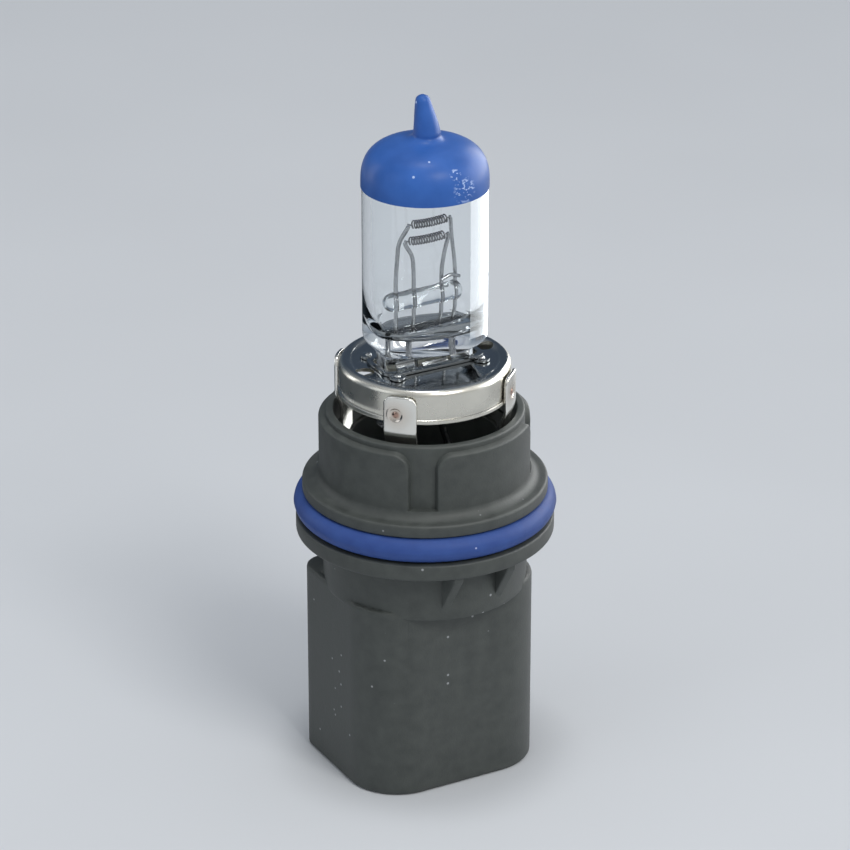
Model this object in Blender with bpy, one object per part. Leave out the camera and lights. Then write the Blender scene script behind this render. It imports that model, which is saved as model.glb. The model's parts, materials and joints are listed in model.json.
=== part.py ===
"""Two-beam halogen headlight bulb with a round keyed plastic base and a three-blade connector.

World frame, in metres: +Z runs from the connector to the glass tip. The origin is the centre of the
connector's open end, on the bulb's axis. X is the direction of both filament coils and the width of
the flat press seal.

The numbers below are millimetres, and their heights are measured from the flange's upper face, the
plane that seats in the lamp. The empty seating_plane carries every piece at that plane's height.
"""

import math

import bmesh
import bpy
from mathutils import Matrix, Vector

MM = 0.001

# Glass capsule
GLASS_RADIUS = 7.33
GLASS_WALL = 1.15
SHOULDER_TOP = 18.4
SHOULDER_BOTTOM = 16.4
PRESS_BOTTOM = 7.2
PRESS_HALF_WIDTH = 5.9
PRESS_HALF_THICKNESS = 1.45
DOME_START = 36.85
DOME_TOP = 42.15
DOME_POWER = 2.95
TIP_TOP = 47.55
TIP_FOOT_RADIUS = 2.25
TIP_FOOT_HEIGHT = 0.75
TIP_BASE_RADIUS = 1.48
TIP_END_RADIUS = 0.6
TIP_OFFSET = Vector((0.19, -0.11))
TIP_LEAN = Vector((-0.42, 0.24))
# The hollow's pinched foot: half width, half depth, height and squareness of each level
CAVITY_FOOT = ((4.9, 1.0, 19.5, 3.0), (5.5, 3.4, 20.0, 2.3), (5.95, 5.2, 20.9, 2.0))
CAVITY_FULL_HEIGHT = 22.2
LEAD_HOLE_TOP = 22.0
GLASS_SEGMENTS = 32

# Glare coating
COATING_BOTTOM = 36.7
COATING_GAP = 0.06
COATING_THICKNESS = 0.14

# Filaments and the wires that hold them
COIL_RADIUS = 0.45
COIL_WIRE_RADIUS = 0.1
COIL_LENGTH = 4.4
COIL_TURNS = 10
COIL_LEG = 0.7
LOW_COIL_CENTRE = Vector((0.0, -0.5, 30.45))
HIGH_COIL_CENTRE = Vector((1.0, 0.7, 31.9))
LEAD_RADIUS = 0.25
LEAD_BOTTOM = 12.2
LOW_LEAD_X = -1.5
HIGH_LEAD_X = -3.8
COMMON_LEAD_X = 2.2
SUPPORT_X = 4.1
SUPPORT_BOTTOM = 17.6
POST_BEND_Z = 26.0
BRIDGE_RADIUS = 1.25
BRIDGE_Z = 23.0
BRIDGE_LEFT = -5.3
BRIDGE_RIGHT = 4.95
WIRE_CLEARANCE = 0.09

# Foils and outer leads in the press seal
FOIL_HALF_WIDTH = 0.8
FOIL_Y = 0.58
FOIL_HALF_THICKNESS = 0.06
FOIL_BOTTOM = 8.0
FOIL_TOP = 13.6
OUTER_LEAD_RADIUS = 0.45
OUTER_LEAD_TOP = 9.6
OUTER_LEAD_BOTTOM = -8.0

# Metal cup, clip and mounting ring
CUP_RADIUS = 10.15
CUP_TOP = 15.1
CUP_BOTTOM = 10.95
CUP_SHEET = 0.45
CUP_CORNER = 0.8
CUP_BEAD = 0.14
CUP_DISH = 0.25
CUP_FLOOR_RADIUS = 7.6
CUP_SLOT_HALF_X = 6.35
CUP_SLOT_HALF_Y = 2.5
CUP_HOLE_X = 7.95
CUP_HOLE_RADIUS = 1.1
CLIP_SHEET = 0.3
CLIP_HALF_X = 6.75
CLIP_HALF_Y = 3.3
CLIP_OPENING_HALF_X = 6.15
CLIP_OPENING_HALF_Y = 2.3
FINGER_X = 3.6
FINGER_WIDTH = 2.4
FINGER_HEIGHT = 0.95
EAR_X = 5.6
EAR_Y = 3.6
EAR_RADIUS = 0.95
RING_SHEET = 0.42
RING_INNER_RADIUS = 8.95
RING_OUTER_RADIUS = 11.1
RING_BOTTOM = 5.0
TAB_INNER_RADIUS = 10.34
TAB_TOP = 14.5
TAB_WIDTH = 4.1
TAB_CORNER = 1.25
TAB_ANGLES = [math.radians(45 + 90 * i) for i in range(4)]

# Plastic base
BASE_TOP = 8.8
BORE_RADIUS = 8.8
RECESS_RADIUS = 10.85
CORE_RADIUS = 11.8
PAD_RADIUS = 12.6
PAD_TOP = 8.0
PAD_CORNER = 2.0
KEYWAY_WIDTHS = {105: 5.0, 240: 3.3, 330: 3.3}
KEYWAY_LEDGE = 1.0
FLANGE_FILLET = 1.2
FLANGE_RADIUS = 14.6
FLANGE_ROUNDING = 0.45
FLANGE_THICKNESS = 1.5
GROOVE_RADIUS = 12.55
GROOVE_BOTTOM = -4.7
COLLAR_RADIUS = 15.4
COLLAR_BOTTOM = -6.7
NECK_RADIUS = 12.2
NECK_BOTTOM = -13.5
CAVITY_FLOOR = -12.0
BASE_SEGMENTS = 48

# Sealing ring
SEAL_RADIUS = 1.5
SEAL_CENTRE_RADIUS = 14.15
SEAL_Z = -3.1

# Connector
SHROUD_TOP = -12.6
SHROUD_BOTTOM = -37.1
SHROUD_HALF_X = 12.0
SHROUD_HALF_Y = 9.6
SHROUD_ROUND_FRONT = 6.5
SHROUD_ROUND_BACK = 2.5
SHROUD_WALL = 1.7
SOCKET_FLOOR = -16.0
# Side views of the latch ramp and the guide ribs: height above the connector's wall, and z
LATCH_PROFILE = ((0.0, -28.5), (0.7, -28.5), (2.6, -24.2), (2.6, -23.4), (0.0, -23.0))
LATCH_HALF_WIDTH = 3.0
RIB_PROFILE = ((0.0, -35.6), (1.7, -34.9), (1.7, -15.5), (0.0, -14.0))
RIB_HALF_WIDTH = 0.7
RIB_PLACES = (-5.0, 5.0)
GUSSET_HALF_WIDTH = 0.6
GUSSET_PLACES = (-3.5, 3.5)
BLADE_HALF_WIDTH = 1.4
BLADE_HALF_THICKNESS = 0.4
BLADE_TOP = -5.0
BLADE_TIP = -31.0
BLADE_CLEARANCE = 0.08
BLADE_PLACES = {
    "high_beam": Vector((-4.6, -2.6, 0)),
    "low_beam": Vector((0.0, 4.0, 0)),
    "common": Vector((4.6, -2.6, 0)),
}
POTTING_TOP = -8.4


# ---------------------------------------------------------------- mesh helpers


def clear_scene():
    for obj in list(bpy.data.objects):
        bpy.data.objects.remove(obj, do_unlink=True)


def add_seating_plane():
    """The empty at the flange's upper face, which sits above the connector's end."""
    plane = bpy.data.objects.new("seating_plane", None)
    plane.location = (0, 0, -SHROUD_BOTTOM * MM)
    bpy.context.scene.collection.objects.link(plane)


def material(name, colour, roughness, metallic=0.0, transmission=0.0):
    made = bpy.data.materials.new(name)
    made.use_nodes = True
    shader = made.node_tree.nodes["Principled BSDF"]
    shader.inputs["Base Color"].default_value = (*colour, 1.0)
    shader.inputs["Roughness"].default_value = roughness
    shader.inputs["Metallic"].default_value = metallic
    shader.inputs["Transmission Weight"].default_value = transmission
    return made


def solid(name, rings, looped=False):
    """An object whose skin runs through equal rings of points, capped at both ends unless looped."""
    shape = bmesh.new()
    rows = [[shape.verts.new(Vector(point) * MM) for point in ring] for ring in rings]
    pairs = list(zip(rows, rows[1:]))
    if looped:
        pairs.append((rows[-1], rows[0]))
    else:
        shape.faces.new(rows[0])
        shape.faces.new(rows[-1])
    for lower, upper in pairs:
        for i in range(len(lower)):
            j = (i + 1) % len(lower)
            shape.faces.new((lower[i], lower[j], upper[j], upper[i]))
    bmesh.ops.recalc_face_normals(shape, faces=shape.faces)
    mesh = bpy.data.meshes.new(name)
    shape.to_mesh(mesh)
    shape.free()
    if looped and signed_volume(mesh) < 0:
        mesh.flip_normals()
    obj = bpy.data.objects.new(name, mesh)
    bpy.context.scene.collection.objects.link(obj)
    return obj


def signed_volume(mesh):
    mesh.calc_loop_triangles()
    total = 0.0
    for triangle in mesh.loop_triangles:
        a, b, c = (mesh.vertices[i].co for i in triangle.vertices)
        total += a.dot(b.cross(c))
    return total


def combine(target, other, operation):
    """Unites the target with the other object, or cuts it, and removes the other."""
    modifier = target.modifiers.new(operation, "BOOLEAN")
    modifier.operation = operation
    modifier.object = other
    bpy.context.view_layer.update()
    graph = bpy.context.evaluated_depsgraph_get()
    result = bpy.data.meshes.new_from_object(target.evaluated_get(graph))
    target.modifiers.clear()
    target.data = result
    result.name = target.name
    bpy.data.objects.remove(other, do_unlink=True)


def unite(target, *others):
    for other in others:
        combine(target, other, "UNION")


def cut(target, *others):
    for other in others:
        combine(target, other, "DIFFERENCE")


def finish(obj, look, smooth_angle=35.0):
    obj.parent = bpy.data.objects["seating_plane"]
    obj.data.materials.clear()
    obj.data.materials.append(look)
    obj.data.shade_smooth()
    obj.data.set_sharp_from_angle(angle=math.radians(smooth_angle))
    return obj


# ---------------------------------------------------------------- outlines


def polar(radius, angle, z):
    return Vector((radius * math.cos(angle), radius * math.sin(angle), z))


def oval(half_x, half_y, z, power=2.0, centre=(0.0, 0.0), count=GLASS_SEGMENTS):
    """A level ring: a circle or ellipse at power 2, and nearer to a rectangle above that."""
    ring = []
    for i in range(count):
        turn = 2 * math.pi * (i + 0.5) / count
        along, across = math.cos(turn), math.sin(turn)
        x = math.copysign(abs(along) ** (2 / power), along) * half_x
        y = math.copysign(abs(across) ** (2 / power), across) * half_y
        ring.append(Vector((centre[0] + x, centre[1] + y, z)))
    return ring


def rectangle(half_x, half_y, z, centre=(0.0, 0.0)):
    corners = ((1, 1), (-1, 1), (-1, -1), (1, -1))
    return [Vector((centre[0] + sx * half_x, centre[1] + sy * half_y, z)) for sx, sy in corners]


def shroud_outline(inset, z, steps=5):
    """The connector's D-shaped outline: tight corners at +Y and wide ones at -Y."""
    corners = (
        (1, 1, SHROUD_ROUND_BACK, 0),
        (-1, 1, SHROUD_ROUND_BACK, 90),
        (-1, -1, SHROUD_ROUND_FRONT, 180),
        (1, -1, SHROUD_ROUND_FRONT, 270),
    )
    ring = []
    for side_x, side_y, full_radius, start in corners:
        centre_x = side_x * (SHROUD_HALF_X - full_radius)
        centre_y = side_y * (SHROUD_HALF_Y - full_radius)
        radius = full_radius - inset
        for step in range(steps + 1):
            angle = math.radians(start + 90 * step / steps)
            arc = polar(radius, angle, z)
            ring.append(Vector((centre_x + arc.x, centre_y + arc.y, z)))
    return ring


def arc(centre_r, centre_z, radius, start, end, steps):
    """Profile points (r, z) on a round stretch, from one angle to the other, in degrees."""
    angles = [math.radians(start + (end - start) * i / steps) for i in range(steps + 1)]
    return [(centre_r + radius * math.cos(a), centre_z + radius * math.sin(a)) for a in angles]


def turned(name, profile, segments, looped=False):
    """A turned solid from profile points (r, z). Its ends are capped discs unless it is looped."""
    rings = [oval(r, r, z, count=segments) for r, z in profile]
    return solid(name, rings, looped)


def arc_wall(name, angles, section):
    """A wall round the axis: section(angle) gives the (r, z) points of its cross-section there."""
    return solid(name, [[polar(r, a, z) for r, z in section(a)] for a in angles])


def swept(name, path, radius, sides=8):
    """A round wire along a path of points."""
    rings = []
    side = Vector((0.0, 1.0, 0.0))
    for i, point in enumerate(path):
        before = path[max(i - 1, 0)]
        after = path[min(i + 1, len(path) - 1)]
        along = (after - before).normalized()
        side = (side - along * side.dot(along)).normalized()
        up = along.cross(side)
        turns = [2 * math.pi * (k + 0.5) / sides for k in range(sides)]
        rings.append([point + (side * math.cos(t) + up * math.sin(t)) * radius for t in turns])
    return solid(name, rings)


def rounded_path(corners, radius, steps=4):
    """The straight path through the corners, with each inner corner rounded."""
    path = [corners[0]]
    for before, corner, after in zip(corners, corners[1:], corners[2:]):
        reach = min(radius, (corner - before).length / 2.1, (after - corner).length / 2.1)
        start = corner + (before - corner).normalized() * reach
        end = corner + (after - corner).normalized() * reach
        for step in range(steps + 1):
            t = step / steps
            path.append(start * (1 - t) ** 2 + corner * 2 * t * (1 - t) + end * t * t)
    path.append(corners[-1])
    return path


def smooth_step(t):
    t = min(max(t, 0.0), 1.0)
    return t * t * (3 - 2 * t)


# ---------------------------------------------------------------- glass capsule


def dome_rings(bottom, offset):
    """Rings from the bottom height over the dome and up the drawn tip, offset outwards."""
    height = DOME_TOP - DOME_START
    rings = [oval(GLASS_RADIUS + offset, GLASS_RADIUS + offset, bottom)]
    steps = 8
    for i in range(steps + 1):
        level = math.sin(0.5 * math.pi * i / steps)
        radius = GLASS_RADIUS * (1 - level**DOME_POWER) ** (1 / DOME_POWER)
        if radius > TIP_FOOT_RADIUS:
            grown = radius + offset
            rings.append(oval(grown, grown, DOME_START + (height + offset) * level))
    steps = 3
    for i in range(steps):
        t = i / steps
        radius = TIP_BASE_RADIUS + (TIP_FOOT_RADIUS - TIP_BASE_RADIUS) * (1 - t) ** 2 + offset
        rings.append(oval(radius, radius, DOME_TOP + offset + TIP_FOOT_HEIGHT * t, centre=TIP_OFFSET * t))
    steps = 6
    foot = DOME_TOP + TIP_FOOT_HEIGHT
    for i in range(steps + 1):
        t = i / steps
        radius = TIP_BASE_RADIUS - (TIP_BASE_RADIUS - TIP_END_RADIUS) * t**1.2 + offset
        z = foot + offset + (TIP_TOP - TIP_END_RADIUS / 2 - foot) * t
        rings.append(oval(radius, radius, z, centre=TIP_OFFSET + TIP_LEAN * smooth_step(t)))
    end_radius = (TIP_END_RADIUS + offset) * 0.6
    rings.append(oval(end_radius, end_radius, TIP_TOP + offset, centre=TIP_OFFSET + TIP_LEAN))
    return rings


def press_rings():
    """Rings from the press seal's flat end up through the shoulder to the tube."""
    rings = [
        oval(PRESS_HALF_WIDTH - 0.2, PRESS_HALF_THICKNESS - 0.2, PRESS_BOTTOM, power=7),
        oval(PRESS_HALF_WIDTH, PRESS_HALF_THICKNESS, PRESS_BOTTOM + 0.3, power=7),
    ]
    steps = 6
    for i in range(steps + 1):
        t = i / steps
        swell = smooth_step(t)
        half_x = PRESS_HALF_WIDTH + (GLASS_RADIUS - PRESS_HALF_WIDTH) * swell
        half_y = PRESS_HALF_THICKNESS + (GLASS_RADIUS - PRESS_HALF_THICKNESS) * swell
        z = SHOULDER_BOTTOM + (SHOULDER_TOP - SHOULDER_BOTTOM) * t
        rings.append(oval(half_x, half_y, z, power=7 - 5 * swell))
    return rings


def cavity_rings():
    """The hollow that holds the filling gas, round-ended below and domed above."""
    radius = GLASS_RADIUS - GLASS_WALL
    rings = [oval(half_x, half_y, z, power) for half_x, half_y, z, power in CAVITY_FOOT]
    rings += [oval(radius, radius, z) for z in (CAVITY_FULL_HEIGHT, DOME_START)]
    height = DOME_TOP - GLASS_WALL - DOME_START
    steps = 5
    for i in range(1, steps):
        level = math.sin(0.5 * math.pi * i / steps)
        size = radius * (1 - level**DOME_POWER) ** (1 / DOME_POWER)
        rings.append(oval(size, size, DOME_START + height * level))
    rings.append(oval(0.8, 0.8, DOME_START + height))
    return rings


def lead_channels():
    """Cutters for the wires and foils sealed in the press. They also open the hollow to the outside."""
    cutters = []
    for x in (LOW_LEAD_X, HIGH_LEAD_X, COMMON_LEAD_X):
        cutters.append(round_bar("lead_hole", x, LEAD_BOTTOM - 0.2, LEAD_HOLE_TOP, LEAD_RADIUS + WIRE_CLEARANCE))
        outer = OUTER_LEAD_RADIUS + WIRE_CLEARANCE
        cutters.append(round_bar("outer_hole", x, PRESS_BOTTOM - 1, OUTER_LEAD_TOP + 0.2, outer))
        half_x = FOIL_HALF_WIDTH + WIRE_CLEARANCE
        middle = (x, FOIL_Y / 2 + 0.06)
        half_y = FOIL_Y / 2 + 0.2
        levels = (FOIL_BOTTOM - WIRE_CLEARANCE, FOIL_TOP + WIRE_CLEARANCE)
        cutters.append(solid("foil_slot", [rectangle(half_x, half_y, z, middle) for z in levels]))
    support = LEAD_RADIUS + WIRE_CLEARANCE
    cutters.append(round_bar("support_hole", SUPPORT_X, SUPPORT_BOTTOM - 0.2, LEAD_HOLE_TOP, support))
    return cutters


def round_bar(name, x, bottom, top, radius, y=0.0, sides=12):
    return solid(name, [oval(radius, radius, z, centre=(x, y), count=sides) for z in (bottom, top)])


def make_glass_envelope(look):
    glass = solid("glass_envelope", press_rings() + dome_rings(DOME_START - 1, 0.0)[1:])
    cut(glass, solid("cavity", cavity_rings()), *lead_channels())
    return finish(glass, look)


def make_glare_coating(look):
    outer = dome_rings(COATING_BOTTOM, COATING_GAP + COATING_THICKNESS)
    inner = dome_rings(COATING_BOTTOM, COATING_GAP)
    return finish(solid("glare_coating", inner[::-1] + outer), look)


# ---------------------------------------------------------------- filaments and wires


def coil_path(centre):
    """A coil along X with a straight leg at each end."""
    steps_per_turn = 8
    path = [centre + Vector((-COIL_LENGTH / 2 - COIL_LEG, 0, 0))]
    path.append(centre + Vector((-COIL_LENGTH / 2 - 0.15, 0, 0)))
    count = COIL_TURNS * steps_per_turn
    for i in range(count + 1):
        turn = 2 * math.pi * i / steps_per_turn
        x = COIL_LENGTH * (i / count - 0.5)
        ring = Vector((x, COIL_RADIUS * math.sin(turn), -COIL_RADIUS * math.cos(turn)))
        path.append(centre + ring)
    path.append(centre + Vector((COIL_LENGTH / 2 + 0.15, 0, 0)))
    path.append(centre + Vector((COIL_LENGTH / 2 + COIL_LEG, 0, 0)))
    return path


def make_filaments(look):
    for name, centre in (("low_beam", LOW_COIL_CENTRE), ("high_beam", HIGH_COIL_CENTRE)):
        path = coil_path(centre)
        finish(swept(name + "_filament", path, COIL_WIRE_RADIUS, sides=4), look, 60)


def post_top(centre, side):
    """The point just under a coil's leg where its post ends. side is -1 or 1."""
    drop = COIL_WIRE_RADIUS + 0.08
    reach = COIL_LENGTH / 2 + COIL_LEG / 2 + 0.1
    return centre + Vector((side * reach, 0, -drop))


def make_leads(look):
    """The four posts of the filament frame. Three run down into the press seal."""
    bend = Vector((0, 0, POST_BEND_Z))
    posts = {
        "low_beam_lead": (LOW_LEAD_X, LEAD_BOTTOM, post_top(LOW_COIL_CENTRE, -1)),
        "common_lead": (COMMON_LEAD_X, LEAD_BOTTOM, post_top(LOW_COIL_CENTRE, 1)),
        "high_beam_lead": (HIGH_LEAD_X, LEAD_BOTTOM, post_top(HIGH_COIL_CENTRE, -1)),
        "filament_support": (SUPPORT_X, SUPPORT_BOTTOM, post_top(HIGH_COIL_CENTRE, 1)),
    }
    for name, (x, bottom, top) in posts.items():
        offset = Vector((x, 0, 0))
        knee = Vector(((2 * x + top.x) / 3, top.y, top.z - 1.6))
        corners = [offset + Vector((0, 0, bottom)), offset + bend, knee, top]
        finish(swept(name, rounded_path(corners, 1.2), LEAD_RADIUS), look, 50)


def make_crosspiece(look):
    """The bent wire that joins the common lead to the second coil's post, just above the bridge."""
    y = -2 * LEAD_RADIUS - 0.06
    z = BRIDGE_Z + BRIDGE_RADIUS + 0.5
    peak = Vector(((COMMON_LEAD_X + SUPPORT_X) / 2, y, z + 0.7))
    left = Vector((COMMON_LEAD_X - 0.35, y, z))
    right = Vector((SUPPORT_X + 0.35, y, z))
    path = rounded_path([left, peak, right], 0.4)
    finish(swept("lead_crosspiece", path, LEAD_RADIUS * 0.9), look, 50)


def make_glass_bridge(look):
    """A glass rod with fire-rounded ends, crossed by the four posts."""
    rings = []
    length = BRIDGE_RIGHT - BRIDGE_LEFT
    round_end = 0.8
    stops = ((0, 0.45), (0.15, 0.75), (0.45, 0.94), (round_end, 1.0))
    ends = [(BRIDGE_LEFT + d, size) for d, size in stops]
    ends += [(BRIDGE_LEFT + length - d, size) for d, size in reversed(stops)]
    sides = 16
    for x, size in ends:
        turns = [2 * math.pi * (k + 0.5) / sides for k in range(sides)]
        radius = BRIDGE_RADIUS * size
        ring = [Vector((x, radius * math.cos(t), BRIDGE_Z + radius * math.sin(t))) for t in turns]
        rings.append(ring)
    bridge = solid("glass_bridge", rings)
    for x in (LOW_LEAD_X, HIGH_LEAD_X, COMMON_LEAD_X, SUPPORT_X):
        reach = BRIDGE_RADIUS + 1
        hole = LEAD_RADIUS + WIRE_CLEARANCE
        cut(bridge, round_bar("post_hole", x, BRIDGE_Z - reach, BRIDGE_Z + reach, hole))
    finish(bridge, look)


def make_foils(look):
    """The thin foil strips that carry the current through the press seal."""
    for name, x in (("low_beam", LOW_LEAD_X), ("high_beam", HIGH_LEAD_X), ("common", COMMON_LEAD_X)):
        levels = (FOIL_BOTTOM, FOIL_TOP)
        rings = [rectangle(FOIL_HALF_WIDTH, FOIL_HALF_THICKNESS, z, (x, FOIL_Y)) for z in levels]
        finish(solid(name + "_foil", rings), look)


def make_outer_leads(look):
    """Stiff wires from the press seal down beside the inner ends of the blades."""
    beside = Vector((0, -BLADE_HALF_THICKNESS - OUTER_LEAD_RADIUS - 0.06, 0))
    for name, x in (("low_beam", LOW_LEAD_X), ("high_beam", HIGH_LEAD_X), ("common", COMMON_LEAD_X)):
        foot = BLADE_PLACES[name] + beside
        corners = [
            Vector((x, 0, OUTER_LEAD_TOP)),
            Vector((x, 0, PRESS_BOTTOM - 1.5)),
            foot + Vector((0, 0, BLADE_TOP + 1.5)),
            foot + Vector((0, 0, OUTER_LEAD_BOTTOM)),
        ]
        path = rounded_path(corners, 2.0)
        finish(swept(name + "_outer_lead", path, OUTER_LEAD_RADIUS), look, 50)


# ---------------------------------------------------------------- metal cup, clip and ring


def make_capsule_cup(look):
    """The pressed cup: a plate with a slot for the press seal, a rounded edge and a short skirt."""
    inner = CUP_RADIUS - CUP_SHEET
    corner_r = CUP_RADIUS - CUP_CORNER
    corner_z = CUP_TOP - CUP_CORNER
    profile = [(CUP_FLOOR_RADIUS, CUP_TOP - CUP_SHEET - CUP_DISH)]
    profile += arc(corner_r, corner_z, CUP_CORNER - CUP_SHEET, 90, 0, 3)
    profile += [(inner, CUP_BOTTOM), (CUP_RADIUS + CUP_BEAD, CUP_BOTTOM)]
    profile += [(CUP_RADIUS + CUP_BEAD, CUP_BOTTOM + 0.3), (CUP_RADIUS, CUP_BOTTOM + 0.45)]
    profile += arc(corner_r, corner_z, CUP_CORNER, 0, 90, 5)
    profile += [(corner_r - 0.5, CUP_TOP), (corner_r - 0.8, CUP_TOP - CUP_DISH)]
    cup = turned("capsule_cup", profile, BASE_SEGMENTS)
    levels = (CUP_TOP - 3, CUP_TOP + 1)
    slot = [oval(CUP_SLOT_HALF_X, CUP_SLOT_HALF_Y, z, power=6) for z in levels]
    cut(cup, solid("seal_slot", slot))
    for side in (-1, 1):
        hole = round_bar("cup_hole", side * CUP_HOLE_X, *levels, CUP_HOLE_RADIUS, sides=20)
        cut(cup, hole)
    return finish(cup, look)


def bent_strip(name, path, width, thickness):
    """A sheet-metal strip whose side view follows the path. Its width is along X."""
    rings = []
    for i, point in enumerate(path):
        before = path[max(i - 1, 0)]
        after = path[min(i + 1, len(path) - 1)]
        along = (after - before).normalized()
        out = along.cross(Vector((1, 0, 0))) * thickness / 2
        wide = Vector((width / 2, 0, 0))
        rings.append([point - wide - out, point + wide - out, point + wide + out, point - wide + out])
    return solid(name, rings)


def make_seal_clip(look):
    """The spring clip: a flat frame welded to the cup by four ears, with four fingers on the press seal."""
    bottom = CUP_TOP - CUP_DISH + 0.06
    top = bottom + CLIP_SHEET
    clip = solid("seal_clip", [oval(CLIP_HALF_X, CLIP_HALF_Y, z, power=5) for z in (bottom, top)])
    levels = (bottom - 1, top + 1)
    opening = [oval(CLIP_OPENING_HALF_X, CLIP_OPENING_HALF_Y, z, power=7) for z in levels]
    cut(clip, solid("clip_opening", opening))
    inset = 0.02
    for x in (-EAR_X, EAR_X):
        for y in (-EAR_Y, EAR_Y):
            unite(clip, round_bar("ear", x, bottom + inset, top - inset, EAR_RADIUS, y, sides=20))
    middle = bottom + CLIP_SHEET / 2
    touch = PRESS_HALF_THICKNESS + CLIP_SHEET / 2 + 0.08
    for x in (-FINGER_X, FINGER_X):
        for side in (-1, 1):
            path = [
                Vector((x, side * (CLIP_HALF_Y - 0.2), middle)),
                Vector((x, side * 2.1, middle)),
                Vector((x, side * (touch + 0.05), middle + 0.35)),
                Vector((x, side * touch, middle + FINGER_HEIGHT)),
            ]
            unite(clip, bent_strip("finger", path, FINGER_WIDTH, CLIP_SHEET - 0.02))
    return finish(clip, look)


def rounded_top(angle, middle, half_angle, radius, top, corner):
    """The height of a wall's top edge at an angle, with both its corners rounded."""
    from_end = (half_angle - abs(angle - middle)) * radius
    if from_end >= corner:
        return top
    return top - corner + math.sqrt(max(corner**2 - (corner - from_end) ** 2, 0.0))


def wall_angles(middle, half_angle, radius, corner, even_steps):
    """Angles across a wall: close together at the rounded corners and even between them."""
    corner_steps = 4
    ends = []
    for i in range(corner_steps + 1):
        reach = corner * (1 - math.cos(0.5 * math.pi * i / corner_steps))
        ends.append(half_angle - reach / radius)
    inner = ends[-1]
    between = [inner - 2 * inner * i / even_steps for i in range(1, even_steps)]
    return [middle + a for a in ends + between] + [middle - a for a in reversed(ends)]


def make_mounting_ring(look):
    """The ring moulded into the base, with four upright tabs that are spot-welded to the cup."""
    tab_outer = TAB_INNER_RADIUS + RING_SHEET
    low, high = RING_BOTTOM, RING_BOTTOM + RING_SHEET
    profile = [(RING_INNER_RADIUS, low), (RING_OUTER_RADIUS, low)]
    profile += [(RING_OUTER_RADIUS, high), (RING_INNER_RADIUS, high)]
    ring = turned("mounting_ring", profile, BASE_SEGMENTS, looped=True)
    half_angle = TAB_WIDTH / 2 / TAB_INNER_RADIUS
    for middle in TAB_ANGLES:

        def section(angle):
            top = rounded_top(angle, middle, half_angle, TAB_INNER_RADIUS, TAB_TOP, TAB_CORNER)
            bottom = low + 0.1
            return [
                (TAB_INNER_RADIUS, bottom),
                (tab_outer, bottom),
                (tab_outer, top),
                (TAB_INNER_RADIUS, top),
            ]

        angles = wall_angles(middle, half_angle, TAB_INNER_RADIUS, TAB_CORNER, 4)
        unite(ring, arc_wall("tab", angles, section))
    return finish(ring, look)


# ---------------------------------------------------------------- plastic base


def housing_core():
    """The turned part of the base, from the neck's end up to the rim and down into the bore.

    The bore widens above the groove that holds the mounting ring, so that the ring's tabs stand free.
    """
    slot_low, slot_high = RING_BOTTOM - 0.1, RING_BOTTOM + RING_SHEET + 0.1
    slot_radius = RING_OUTER_RADIUS + 0.1
    fillet_r = PAD_RADIUS + FLANGE_FILLET
    ledge_angle = 180 + math.degrees(math.asin((FLANGE_FILLET - KEYWAY_LEDGE) / FLANGE_FILLET))
    profile = [(NECK_RADIUS, NECK_BOTTOM), (NECK_RADIUS, COLLAR_BOTTOM)]
    profile += [(COLLAR_RADIUS - 0.4, COLLAR_BOTTOM), (COLLAR_RADIUS, COLLAR_BOTTOM + 0.4)]
    profile += [(COLLAR_RADIUS, GROOVE_BOTTOM - 0.3), (COLLAR_RADIUS - 0.3, GROOVE_BOTTOM)]
    profile += [(GROOVE_RADIUS, GROOVE_BOTTOM), (GROOVE_RADIUS, -FLANGE_THICKNESS)]
    profile += [(FLANGE_RADIUS - 0.2, -FLANGE_THICKNESS), (FLANGE_RADIUS, -FLANGE_THICKNESS + 0.2)]
    edge = FLANGE_RADIUS - FLANGE_ROUNDING
    profile += arc(edge, -FLANGE_ROUNDING, FLANGE_ROUNDING, 0, 90, 3)
    profile += arc(fillet_r, FLANGE_FILLET, FLANGE_FILLET, 270, ledge_angle, 3)
    profile += [(CORE_RADIUS, KEYWAY_LEDGE), (CORE_RADIUS, BASE_TOP - 0.5)]
    profile += [(CORE_RADIUS - 0.4, BASE_TOP), (RECESS_RADIUS + 0.1, BASE_TOP)]
    profile += [(RECESS_RADIUS, BASE_TOP - 0.1), (RECESS_RADIUS, slot_high), (slot_radius, slot_high)]
    profile += [(slot_radius, slot_low), (BORE_RADIUS, slot_low), (BORE_RADIUS, CAVITY_FLOOR)]
    return turned("base_housing", profile, BASE_SEGMENTS)


def key_pads():
    """The raised pads between the keyways, each with rounded upper corners and a foot fillet."""
    pads = []
    turns = sorted(KEYWAY_WIDTHS)
    for start, end in zip(turns, turns[1:] + [turns[0] + 360]):
        start_gap = math.asin(KEYWAY_WIDTHS[start] / 2 / PAD_RADIUS)
        end_gap = math.asin(KEYWAY_WIDTHS[end % 360] / 2 / PAD_RADIUS)
        low = math.radians(start) + start_gap
        high = math.radians(end) - end_gap
        middle = (low + high) / 2
        half_angle = (high - low) / 2

        def section(angle):
            top = rounded_top(angle, middle, half_angle, PAD_RADIUS, PAD_TOP, PAD_CORNER)
            foot_r = PAD_RADIUS + FLANGE_FILLET
            sunk = 0.5
            points = [(CORE_RADIUS - sunk, -sunk), (foot_r, -sunk)]
            points += arc(foot_r, FLANGE_FILLET, FLANGE_FILLET, 270, 180, 3)
            points += [(PAD_RADIUS, top - 0.25), (PAD_RADIUS - 0.25, top), (CORE_RADIUS - sunk, top)]
            return points

        even_steps = round((high - low) / (2 * math.pi / BASE_SEGMENTS))
        angles = wall_angles(middle, half_angle, PAD_RADIUS, PAD_CORNER, even_steps)
        pads.append(arc_wall("pad", angles, section))
    return pads


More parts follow.
